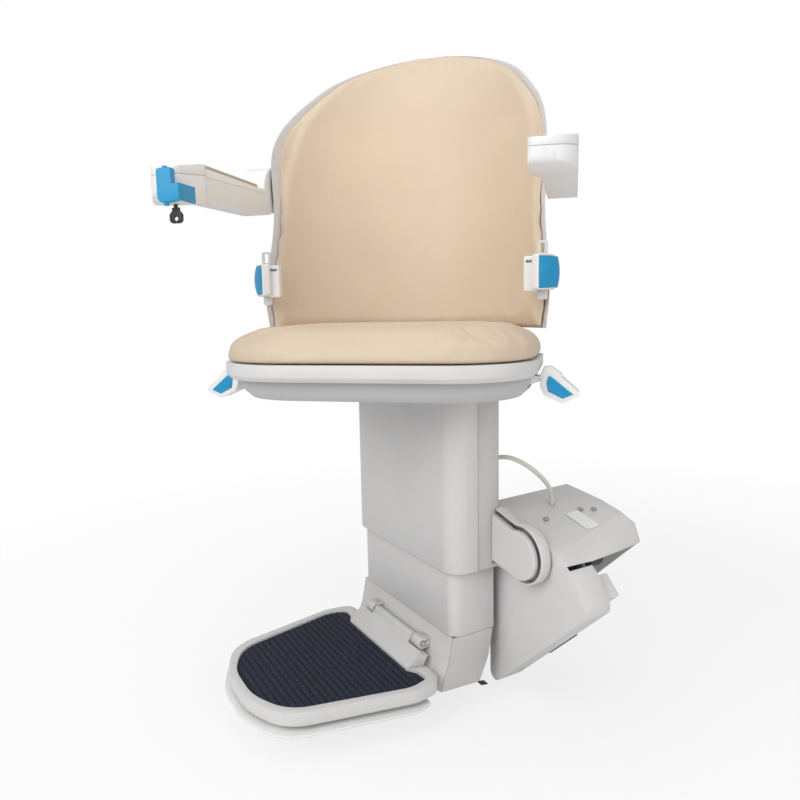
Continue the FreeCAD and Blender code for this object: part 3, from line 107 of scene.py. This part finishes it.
def evaluated_mesh(thing):
    """A piece's mesh with its modifiers or its curve's settings in it."""
    bpy.context.view_layer.update()
    return bpy.data.meshes.new_from_object(thing.evaluated_get(bpy.context.evaluated_depsgraph_get()))


# Materials

FLAT_POINT = 0.5
POINT_MARGIN = 0.005
SPARK_ROUGHNESS = 0.16
CREASE_WANDER = (0.0011, 0.0011, 0.0011)
EDGE_GAIN = 1.12
EDGE_LIFT = 0.03
# Painted shade in recesses: the colour there is darkened towards this share of itself, by at most the share
# below
PAINTED_SHADE_TONE = 0.62
PAINTED_SHADE_SHARE = 0.22

# Sockets of a colour mix, by their place
MIX_SHARE = 0
MIX_FIRST = 6
MIX_SECOND = 7
MIX_RESULT = 2


def group(name, inputs, outputs):
    """A node group with named sockets: (label, kind, value) in, (label, kind) out."""
    tree = bpy.data.node_groups.new(name, "ShaderNodeTree")
    for label, kind, value in inputs:
        socket = tree.interface.new_socket(label, in_out="INPUT", socket_type=kind)
        socket.default_value = value
    for label, kind in outputs:
        tree.interface.new_socket(label, in_out="OUTPUT", socket_type=kind)
    return tree, tree.nodes.new("NodeGroupInput"), tree.nodes.new("NodeGroupOutput")


def node(tree, kind, links=(), **values):
    """A node with its settings, and its inputs by name from values or other sockets."""
    made = tree.nodes.new(kind)
    for key, value in values.items():
        setattr(made, key, value)
    for label, source in dict(links).items():
        if isinstance(source, bpy.types.NodeSocket):
            tree.links.new(source, made.inputs[label])
        else:
            made.inputs[label].default_value = source
    return made


def moulded_group():
    """Fine spark-eroded texture of a moulded cover, with slow changes in its tone."""
    tree, given, out = group(
        "moulded_texture",
        [("Colour", "NodeSocketColor", (0.5, 0.5, 0.5, 1)), ("Tone", "NodeSocketFloat", 0.05),
         ("Grain", "NodeSocketFloat", 1500.0), ("Roughness", "NodeSocketFloat", 0.5)],
        [("Colour", "NodeSocketColor"), ("Roughness", "NodeSocketFloat"), ("Height", "NodeSocketFloat")])
    place = node(tree, "ShaderNodeTexCoord").outputs["Object"]
    slow = node(tree, "ShaderNodeTexNoise", {"Vector": place, "Scale": 7.0, "Detail": 3.0})
    speck = node(tree, "ShaderNodeTexNoise",
                 {"Vector": place, "Scale": given.outputs["Grain"], "Detail": 2.0})
    low = node(tree, "ShaderNodeMath", {0: 1.0, 1: given.outputs["Tone"]}, operation="SUBTRACT")
    high = node(tree, "ShaderNodeMath", {0: 1.0, 1: given.outputs["Tone"]}, operation="ADD")
    tone = node(tree, "ShaderNodeMapRange",
                {"Value": slow.outputs["Fac"], "From Min": 0.35, "From Max": 0.65,
                 "To Min": low.outputs[0], "To Max": high.outputs[0]})
    tinted = node(tree, "ShaderNodeVectorMath", {0: given.outputs["Colour"]}, operation="SCALE")
    tree.links.new(tone.outputs["Result"], tinted.inputs["Scale"])
    rough = node(tree, "ShaderNodeMath",
                 {0: speck.outputs["Fac"], 1: SPARK_ROUGHNESS, 2: given.outputs["Roughness"]},
                 operation="MULTIPLY_ADD")
    tree.links.new(tinted.outputs["Vector"], out.inputs["Colour"])
    tree.links.new(rough.outputs[0], out.inputs["Roughness"])
    tree.links.new(speck.outputs["Fac"], out.inputs["Height"])
    return tree


def edge_group():
    """Masks of a piece's convex edges, for handling wear, and of its recesses, for painted shade."""
    tree, given, out = group(
        "edge_mask", [("Contrast", "NodeSocketFloat", 0.06)],
        [("Edge", "NodeSocketFloat"), ("Recess", "NodeSocketFloat")])
    shape = node(tree, "ShaderNodeNewGeometry").outputs["Pointiness"]
    above = node(tree, "ShaderNodeMath", {0: FLAT_POINT, 1: given.outputs["Contrast"]}, operation="ADD")
    below = node(tree, "ShaderNodeMath", {0: FLAT_POINT, 1: given.outputs["Contrast"]},
                 operation="SUBTRACT")
    edge = node(tree, "ShaderNodeMapRange",
                {"Value": shape, "From Min": FLAT_POINT + POINT_MARGIN, "From Max": above.outputs[0]})
    recess = node(tree, "ShaderNodeMapRange",
                  {"Value": shape, "From Min": FLAT_POINT - POINT_MARGIN, "From Max": below.outputs[0]})
    tree.links.new(edge.outputs["Result"], out.inputs["Edge"])
    tree.links.new(recess.outputs["Result"], out.inputs["Recess"])
    return tree


def hide_group():
    """Grain of coated upholstery: rounded cells with creases between them."""
    tree, given, out = group(
        "hide_grain",
        [("Colour", "NodeSocketColor", (0.7, 0.5, 0.4, 1)), ("Cells", "NodeSocketFloat", 650.0)],
        [("Colour", "NodeSocketColor"), ("Roughness", "NodeSocketFloat"), ("Height", "NodeSocketFloat")])
    place = node(tree, "ShaderNodeTexCoord").outputs["Object"]
    wander = node(tree, "ShaderNodeTexNoise", {"Vector": place, "Scale": 260.0, "Detail": 2.0})
    bent = node(tree, "ShaderNodeVectorMath", {0: wander.outputs["Color"], 1: CREASE_WANDER, 2: place},
                operation="MULTIPLY_ADD")
    cells = node(tree, "ShaderNodeTexVoronoi",
                 {"Vector": bent.outputs["Vector"], "Scale": given.outputs["Cells"]},
                 feature="DISTANCE_TO_EDGE")
    crease = node(tree, "ShaderNodeMapRange", {"Value": cells.outputs["Distance"], "From Max": 0.16})
    slow = node(tree, "ShaderNodeTexNoise", {"Vector": place, "Scale": 5.0, "Detail": 4.0})
    tone = node(tree, "ShaderNodeMapRange",
                {"Value": slow.outputs["Fac"], "From Min": 0.3, "From Max": 0.7,
                 "To Min": 0.95, "To Max": 1.04})
    depth = node(tree, "ShaderNodeMapRange",
                 {"Value": crease.outputs["Result"], "To Min": 0.93, "To Max": 1.0})
    shade = node(tree, "ShaderNodeMath", {0: tone.outputs["Result"], 1: depth.outputs["Result"]},
                 operation="MULTIPLY")
    tinted = node(tree, "ShaderNodeVectorMath", {0: given.outputs["Colour"]}, operation="SCALE")
    tree.links.new(shade.outputs[0], tinted.inputs["Scale"])
    rough = node(tree, "ShaderNodeMapRange",
                 {"Value": crease.outputs["Result"], "To Min": 0.62, "To Max": 0.44})
    tree.links.new(tinted.outputs["Vector"], out.inputs["Colour"])
    tree.links.new(rough.outputs["Result"], out.inputs["Roughness"])
    tree.links.new(crease.outputs["Result"], out.inputs["Height"])
    return tree


MOULDED = moulded_group()
EDGES = edge_group()
HIDE = hide_group()


def surface(name, **sockets):
    """A material with its Principled shader's own sockets set by name."""
    made = bpy.data.materials.new(name)
    made.use_nodes = True
    shader = made.node_tree.nodes["Principled BSDF"]
    for label, value in sockets.items():
        shader.inputs[label.replace("_", " ")].default_value = value
    return made, made.node_tree, shader


def use(tree, kind, links):
    """A placed node group with its inputs."""
    return node(tree, "ShaderNodeGroup", links, node_tree=kind)


def bump(tree, shader, height, strength, distance):
    """Bump from a height that feeds the shader's normal."""
    raised = node(tree, "ShaderNodeBump", {"Height": height, "Strength": strength, "Distance": distance})
    tree.links.new(raised.outputs["Normal"], shader.inputs["Normal"])


def mixed(tree, share, first, second):
    """A colour mixed from two, by a share from 0 to 1."""
    mix = node(tree, "ShaderNodeMix", {MIX_SHARE: share, MIX_FIRST: first, MIX_SECOND: second},
               data_type="RGBA")
    return mix.outputs[MIX_RESULT]


def plastic(name, colour, roughness=0.42, tone=0.03, grain=1500.0, depth=0.00006, worn=0.08, coat=0.0):
    """Moulded plastic: fine texture, a slow change of tone, paler edges, and recesses darkened as painted
    shade.
    """
    made, tree, shader = surface(name, Coat_Weight=coat, Coat_Roughness=0.12, IOR=1.49)
    skin = use(tree, MOULDED, {"Colour": (*colour, 1), "Tone": tone, "Grain": grain,
                               "Roughness": roughness - SPARK_ROUGHNESS / 2})
    mask = use(tree, EDGES, {"Contrast": 0.08})
    rub = node(tree, "ShaderNodeMath", {0: mask.outputs["Edge"], 1: worn}, operation="MULTIPLY")
    # Painted shade: the colour is darkened in recesses, where shade falls
    painted_shade = node(tree, "ShaderNodeMath", {0: mask.outputs["Recess"], 1: PAINTED_SHADE_SHARE}, operation="MULTIPLY")
    pale = [min(1.0, c * EDGE_GAIN + EDGE_LIFT) for c in colour]
    shaded_colour = [c * PAINTED_SHADE_TONE for c in colour]
    rubbed = mixed(tree, rub.outputs[0], skin.outputs["Colour"], (*pale, 1))
    with_painted_shade = mixed(tree, painted_shade.outputs[0], rubbed, (*shaded_colour, 1))
    tree.links.new(with_painted_shade, shader.inputs["Base Color"])
    tree.links.new(skin.outputs["Roughness"], shader.inputs["Roughness"])
    bump(tree, shader, skin.outputs["Height"], strength=0.35, distance=depth)
    return made


def upholstery():
    """Beige coated leather with fine cells."""
    made, tree, shader = surface("beige_leather", Sheen_Weight=0.08, Sheen_Roughness=0.4, IOR=1.45)
    skin = use(tree, HIDE, {"Colour": (0.685, 0.55, 0.41, 1), "Cells": 620.0})
    tree.links.new(skin.outputs["Colour"], shader.inputs["Base Color"])
    tree.links.new(skin.outputs["Roughness"], shader.inputs["Roughness"])
    bump(tree, shader, skin.outputs["Height"], strength=0.35, distance=0.00012)
    return made


def metal(name, colour, roughness, brushed):
    """Steel: bright with marks along X where it is brushed, or painted with orange peel."""
    made, tree, shader = surface(name, Metallic=1.0 if brushed else 0.0)
    marks_scale, noise_scale = ((30, 1400, 1400), 1.0) if brushed else ((1, 1, 1), 700.0)
    rough_spread = 0.07
    place = node(tree, "ShaderNodeTexCoord").outputs["Object"]
    stretch = node(tree, "ShaderNodeMapping", {"Vector": place, "Scale": marks_scale})
    marks = node(tree, "ShaderNodeTexNoise",
                 {"Vector": stretch.outputs["Vector"], "Scale": noise_scale, "Detail": 3.0})
    tone = node(tree, "ShaderNodeMapRange", {"Value": marks.outputs["Fac"], "To Min": 0.86, "To Max": 1.1})
    tinted = node(tree, "ShaderNodeVectorMath", {0: colour}, operation="SCALE")
    tree.links.new(tone.outputs["Result"], tinted.inputs["Scale"])
    tree.links.new(tinted.outputs["Vector"], shader.inputs["Base Color"])
    rough = node(tree, "ShaderNodeMapRange",
                 {"Value": marks.outputs["Fac"], "To Min": roughness - rough_spread,
                  "To Max": roughness + rough_spread})
    tree.links.new(rough.outputs["Result"], shader.inputs["Roughness"])
    bump(tree, shader, marks.outputs["Fac"], strength=0.2, distance=0.00005)
    return made


def mat_fabric():
    """Navy needled carpet of the footrest mat, flecked with paler fibres."""
    made, tree, shader = surface("navy_mat", Sheen_Weight=0.04, Sheen_Roughness=0.6)
    place = node(tree, "ShaderNodeTexCoord").outputs["Object"]
    fibre = node(tree, "ShaderNodeTexNoise",
                 {"Vector": place, "Scale": 620.0, "Detail": 5.0, "Roughness": 0.75})
    tuft = node(tree, "ShaderNodeTexVoronoi", {"Vector": place, "Scale": 190.0})
    ramp = node(tree, "ShaderNodeValToRGB", {"Fac": fibre.outputs["Fac"]})
    stops = ramp.color_ramp.elements
    stops[0].position = 0.42
    stops[0].color = (0.004, 0.007, 0.022, 1)
    stops[1].position = 0.72
    stops[1].color = (0.070, 0.095, 0.190, 1)
    middle = stops.new(0.56)
    middle.color = (0.012, 0.019, 0.055, 1)
    shade = node(tree, "ShaderNodeMapRange",
                 {"Value": tuft.outputs["Distance"], "From Max": 0.7, "To Min": 1.25, "To Max": 0.55})
    tinted = node(tree, "ShaderNodeVectorMath", {0: ramp.outputs["Color"]}, operation="SCALE")
    tree.links.new(shade.outputs["Result"], tinted.inputs["Scale"])
    tree.links.new(tinted.outputs["Vector"], shader.inputs["Base Color"])
    rough = node(tree, "ShaderNodeMapRange", {"Value": fibre.outputs["Fac"], "To Min": 0.8, "To Max": 0.98})
    tree.links.new(rough.outputs["Result"], shader.inputs["Roughness"])
    both = node(tree, "ShaderNodeMath", {0: fibre.outputs["Fac"], 1: tuft.outputs["Distance"]},
                operation="SUBTRACT")
    bump(tree, shader, both.outputs[0], strength=0.9, distance=0.0012)
    return made


FINISH = {
    "leather": upholstery(),
    "shell_grey": plastic("light_grey_cover", (0.68, 0.67, 0.665), roughness=0.44),
    "tub_grey": plastic("grey_tub", (0.53, 0.525, 0.525), roughness=0.48),
    "side_tint": plastic("warm_grey_side", (0.58, 0.555, 0.545), roughness=0.46),
    "white": plastic("off_white_moulding", (0.83, 0.83, 0.825), roughness=0.36, coat=0.1),
    "pad_beige": plastic("soft_arm_pad", (0.50, 0.42, 0.32), roughness=0.6, grain=900.0, depth=0.00012),
    "blue": plastic("azure_touch_point", (0.0, 0.29, 0.57), roughness=0.4, tone=0.03, coat=0.15, worn=0.04),
    "black": plastic("black_fitting", (0.022, 0.022, 0.024), roughness=0.45, worn=0.1),
    "mat": mat_fabric(),
    "steel": metal("powder_coated_steel", (0.28, 0.285, 0.29), roughness=0.5, brushed=False),
    "bare_steel": metal("bright_steel", (0.62, 0.61, 0.6), roughness=0.28, brushed=True),
    "shoe": plastic("sliding_polymer", (0.05, 0.05, 0.052), roughness=0.4),
    "tyre": plastic("roller_polymer", (0.04, 0.04, 0.042), roughness=0.5),
    "board": plastic("circuit_board", (0.03, 0.16, 0.07), roughness=0.35, coat=0.4),
    "cable_white": plastic("cream_cable", (0.70, 0.68, 0.62), roughness=0.4, grain=2200.0),
    "screw": metal("plated_screw", (0.5, 0.5, 0.49), roughness=0.35, brushed=True),
    "label": plastic("blank_label_film", (0.84, 0.84, 0.83), roughness=0.3, worn=0.0),
}

SLOTS = {row["node"]: row["material_slot"] for row in frame["record"]["subparts"]}


def dress(thing, slot):
    """One finish on the whole of a piece."""
    thing.data.materials.clear()
    thing.data.materials.append(FINISH[slot])


EDGE_WIDTH = 0.0009
EDGE_ANGLE = math.radians(38)
WELD_REACH = 0.00001
SOFT_EDGED = (
    "carriage_front_cover", "carriage_lid", "column_front_cover", "column_rear_cover", "column_lower_cover",
    "column_toe_cover", "column_side_caps", "lobe_front_shell", "lobe_rear_shell", "rail_hook",
    "footrest_tray", "safety_plate", "seat_base_tub", "seat_tray", "lever_left", "lever_right",
    "lever_left_inlay", "lever_right_inlay", "belt_plates", "belt_housings", "belt_button_left",
    "belt_button_right", "arm_left_lower", "arm_left_upper", "arm_right_lower", "arm_right_upper",
    "arm_left_pad", "arm_right_pad", "joystick", "key", "hinge_lugs", "back_shell", "back_frame")


def soften_edges(thing):
    """Small radius on a piece's sharp edges, with smooth shading between."""
    weld = thing.modifiers.new("weld", "WELD")
    weld.merge_threshold = WELD_REACH
    bevel = thing.modifiers.new("edge", "BEVEL")
    bevel.width = EDGE_WIDTH
    bevel.segments = 2
    bevel.limit_method = "ANGLE"
    bevel.angle_limit = EDGE_ANGLE
    bevel.harden_normals = True
    shade_smooth(thing.data)


for name, thing in NODES.items():
    dress(thing, SLOTS[name])

for name in SOFT_EDGED:
    soften_edges(NODES[name])


# Cushions

CUSHION_REACH = 0.00002
COVER_SHRINK = 0.001
COVER_FRAMES = 20
FINAL_ROUNDS = 3
SEAT_SEAM_Z = 0.4695
BACK_HALF = 0.23
BACK_BEND = 0.240
BACK_LEAN = 0.29
BACK_FOOT_Y = 0.060
BACK_FOOT_Z = 0.5
BACK_HELD_DEPTH = 0.017


def merged_copy(name, piece):
    """A closed copy of a solid's mesh as a new piece."""
    mesh = bpy.data.meshes.new(piece)
    close_mesh(NODES[name].data, mesh, CUSHION_REACH)
    return placed(piece, mesh)


def apply_modifiers(thing):
    """The evaluated mesh becomes the piece's own."""
    mesh = evaluated_mesh(thing)
    thing.modifiers.clear()
    thing.data = mesh


def relax(shape, rounds):
    """Even out a mesh's vertices, once a round."""
    for _ in range(rounds):
        bmesh.ops.smooth_vert(shape, verts=shape.verts, factor=0.5, use_axis_x=True, use_axis_y=True,
                              use_axis_z=True)


def swell(thing, pressure, fixed):
    """Air pressure inside the cushion's cover, with the fixed vertices held."""
    pinned = thing.vertex_groups.new(name="held_down")
    pinned.add([i for i, kept in enumerate(fixed) if kept], 1.0, "REPLACE")
    cloth = thing.modifiers.new("cover", "CLOTH")
    cloth.settings.use_pressure = True
    cloth.settings.uniform_pressure_force = pressure
    cloth.settings.quality = 5
    cloth.settings.vertex_group_mass = "held_down"
    cloth.settings.effector_weights.gravity = 0.0
    cloth.collision_settings.use_collision = False
    cloth.point_cache.frame_start = 1
    cloth.point_cache.frame_end = COVER_FRAMES
    for number in range(1, COVER_FRAMES + 1):
        bpy.context.scene.frame_set(number)
    apply_modifiers(thing)
    bpy.context.scene.frame_set(1)


def plump(thing, voxel, rounds, pressure, cap, held):
    """Remesh a cushion, let air pressure swell its cover, and cap how far a point may move."""
    remesh = thing.modifiers.new("even_mesh", "REMESH")
    remesh.mode = "VOXEL"
    remesh.voxel_size = voxel
    remesh.use_smooth_shade = True
    apply_modifiers(thing)
    shape = bmesh.new()
    shape.from_mesh(thing.data)
    relax(shape, rounds)
    shape.normal_update()
    for vert in shape.verts:
        vert.co -= vert.normal * COVER_SHRINK
    shape.to_mesh(thing.data)
    shape.free()
    start = [vert.co.copy() for vert in thing.data.vertices]
    fixed = [held(place) for place in start]
    swell(thing, pressure, fixed)
    shape = bmesh.new()
    shape.from_mesh(thing.data)
    for vert, place in zip(shape.verts, start):
        moved = vert.co - place
        if moved.length > cap:
            vert.co = place + moved.normalized() * cap
    relax(shape, FINAL_ROUNDS)
    shape.to_mesh(thing.data)
    shape.free()
    shade_smooth(thing.data)


def low_seat(place):
    """Underside of the seat cushion, which lies on its tray."""
    return place.z < SEAT_SEAM_Z - RAIL_Z


def rear_back(place):
    """Rear of the back cushion, which lies in its shell and is bent to an arc."""
    seat = TO_SEAT.inverted() @ place
    middle = BACK_FOOT_Y + max(0.0, seat.z - BACK_FOOT_Z) * BACK_LEAN
    across = min(abs(seat.x), BACK_HALF)
    depth = middle - BACK_BEND + math.sqrt(BACK_BEND * BACK_BEND - across * across)
    return seat.y > depth + BACK_HELD_DEPTH


seat_pad = merged_copy("seat_cushion", "seat_upholstery")
plump(seat_pad, voxel=0.0036, rounds=4, pressure=4.0, cap=0.005, held=low_seat)
dress(seat_pad, "leather")
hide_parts("seat_cushion")
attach(seat_pad, "pad")

back_pad = merged_copy("back_cushion", "back_upholstery")
plump(back_pad, voxel=0.0036, rounds=7, pressure=3.0, cap=0.003, held=rear_back)
dress(back_pad, "leather")
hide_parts("back_cushion")
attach(back_pad, "seat")


# Cable between the column and the carriage

CABLE_RADIUS = 0.0034
CABLE_REACH = 0.00001


def smooth_cable():
    """Round cable, its middle line and its length, from a smooth spline along the route."""
    route = [(0.100, 0.060, 0.3036), (0.100, 0.082, 0.3036), (0.122, 0.099, 0.310), (0.140, 0.122, 0.296),
             (0.148, 0.150, 0.270), (0.147, 0.163, 0.250), (0.146, 0.165, 0.236), (0.146, 0.165, 0.218)]
    line = bpy.data.curves.new("cable_line", "CURVE")
    line.dimensions = "3D"
    line.resolution_u = 16
    spline = line.splines.new("NURBS")
    spline.points.add(len(route) - 1)
    for point, place in zip(spline.points, route):
        point.co = (*(TO_RAIL @ Vector(place)), 1.0)
    spline.order_u = 3
    spline.use_endpoint_u = True
    holder = placed("cable_line", line)
    path = [tuple(vert.co) for vert in evaluated_mesh(holder).vertices]
    line.bevel_depth = CABLE_RADIUS
    line.bevel_resolution = 5
    line.use_fill_caps = True
    skin = evaluated_mesh(holder)
    bpy.data.objects.remove(holder)
    close_mesh(skin, skin, CABLE_REACH)
    shade_smooth(skin)
    tube = placed("link_cable", skin)
    length = sum((Vector(b) - Vector(a)).length for a, b in zip(path, path[1:]))
    return tube, path, length


cable, cable_path, cable_length = smooth_cable()
dress(cable, "cable_white")
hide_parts("cable")
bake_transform(cable)


# Floor, light and camera

FLOOR_RADIUS = 6.0
FLOOR_MIDDLE = (-0.1, -0.1)
FLOOR_GAP = 0.03
FLOOR_GLOW = 0.75
FADE_START = 0.6
FADE_END = 1.7
WORLD_LIGHT = 0.52
PICTURE_PIXELS = 800.0
FOCAL_PIXELS = 680.0
SENSOR_WIDTH = 36.0
CAMERA_PLACE = (0.9003, -0.5409, 0.5337)
CAMERA_YAW = math.radians(59.7)
CAMERA_PITCH = math.radians(7.8)
CAMERA_ROLL = math.radians(-1.1)


def floor():
    """Pale floor that fades into the backdrop, with the part's soft shadow."""
    low = Matrix.Translation((*FLOOR_MIDDLE, CAD_BOX[0][2] - FLOOR_GAP))
    shape = bmesh.new()
    bmesh.ops.create_circle(shape, cap_ends=True, segments=96, radius=FLOOR_RADIUS, matrix=low)
    mesh = bpy.data.meshes.new("floor")
    shape.to_mesh(mesh)
    shape.free()
    made = placed("floor", mesh)
    paint, tree, shader = surface("pale_floor", Roughness=0.9)
    shader.inputs["Base Color"].default_value = (0.9, 0.9, 0.9, 1)
    place = node(tree, "ShaderNodeTexCoord").outputs["Object"]
    away = node(tree, "ShaderNodeVectorMath", {0: place}, operation="LENGTH")
    fade = node(tree, "ShaderNodeMapRange",
                {"Value": away.outputs["Value"], "From Min": FADE_START, "From Max": FADE_END})
    camera_ray = node(tree, "ShaderNodeLightPath").outputs["Is Camera Ray"]
    clear = node(tree, "ShaderNodeBsdfTransparent")
    paper = node(tree, "ShaderNodeEmission", {"Color": (1, 1, 1, 1)})
    pale = node(tree, "ShaderNodeMath", {0: camera_ray, 1: FLOOR_GLOW}, operation="MULTIPLY")
    lit = node(tree, "ShaderNodeMixShader", {0: pale.outputs[0]})
    tree.links.new(shader.outputs["BSDF"], lit.inputs[1])
    tree.links.new(paper.outputs["Emission"], lit.inputs[2])
    blend = node(tree, "ShaderNodeMath", {0: fade.outputs["Result"], 1: camera_ray}, operation="MULTIPLY")
    faded = node(tree, "ShaderNodeMixShader", {0: blend.outputs[0]})
    tree.links.new(lit.outputs["Shader"], faded.inputs[1])
    tree.links.new(clear.outputs["BSDF"], faded.inputs[2])
    tree.links.new(faded.outputs["Shader"], tree.nodes["Material Output"].inputs["Surface"])
    made.data.materials.append(paint)


def lamp(name, place, target, size, power):
    """Soft square lamp aimed at a point."""
    light = bpy.data.lights.new(name, "AREA")
    light.shape = "SQUARE"
    light.size = size
    light.energy = power
    made = placed(name, light)
    made.location = TO_RAIL @ Vector(place)
    aim = (TO_RAIL @ Vector(target)) - made.location
    made.rotation_euler = aim.to_track_quat("-Z", "Y").to_euler()


def studio():
    """Even pale surroundings, with a soft key lamp and weaker ones from the side and the top."""
    world = bpy.data.worlds.new("studio")
    bpy.context.scene.world = world
    world.use_nodes = True
    tree = world.node_tree
    back = tree.nodes["Background"]
    rays = node(tree, "ShaderNodeLightPath")
    strength = node(tree, "ShaderNodeMapRange",
                    {"Value": rays.outputs["Is Camera Ray"], "To Min": WORLD_LIGHT, "To Max": 1.0})
    back.inputs["Color"].default_value = (1, 1, 1, 1)
    tree.links.new(strength.outputs["Result"], back.inputs["Strength"])
    lamp("key", place=(0.75, -2.0, 1.7), target=(0.0, 0.0, 0.45), size=1.6, power=25)
    lamp("side", place=(2.2, 0.2, 1.0), target=(0.0, 0.0, 0.4), size=1.4, power=8)
    lamp("top", place=(0.2, -0.3, 2.4), target=(0.0, 0.0, 0.5), size=1.6, power=11)


def photo_camera():
    """Camera fitted to the photograph's frame of 800 by 800."""
    flat = math.cos(CAMERA_PITCH)
    look = Vector((-math.sin(CAMERA_YAW) * flat, math.cos(CAMERA_YAW) * flat, -math.sin(CAMERA_PITCH)))
    level = look.cross(Vector((0, 0, 1))).normalized()
    above = level.cross(look)
    right = level * math.cos(CAMERA_ROLL) + above * math.sin(CAMERA_ROLL)
    up = above * math.cos(CAMERA_ROLL) - level * math.sin(CAMERA_ROLL)
    lens = bpy.data.cameras.new("camera")
    lens.sensor_width = SENSOR_WIDTH
    lens.lens = FOCAL_PIXELS / PICTURE_PIXELS * SENSOR_WIDTH
    lens.clip_start = 0.02
    made = placed("camera", lens)
    place = TO_RAIL @ Vector(CAMERA_PLACE)
    axes = Matrix((right, up, -look)).transposed().to_4x4()
    made.matrix_world = Matrix.Translation(place) @ axes
    bpy.context.scene.camera = made


floor()
studio()
photo_camera()
bpy.context.scene.view_settings.view_transform = "Standard"
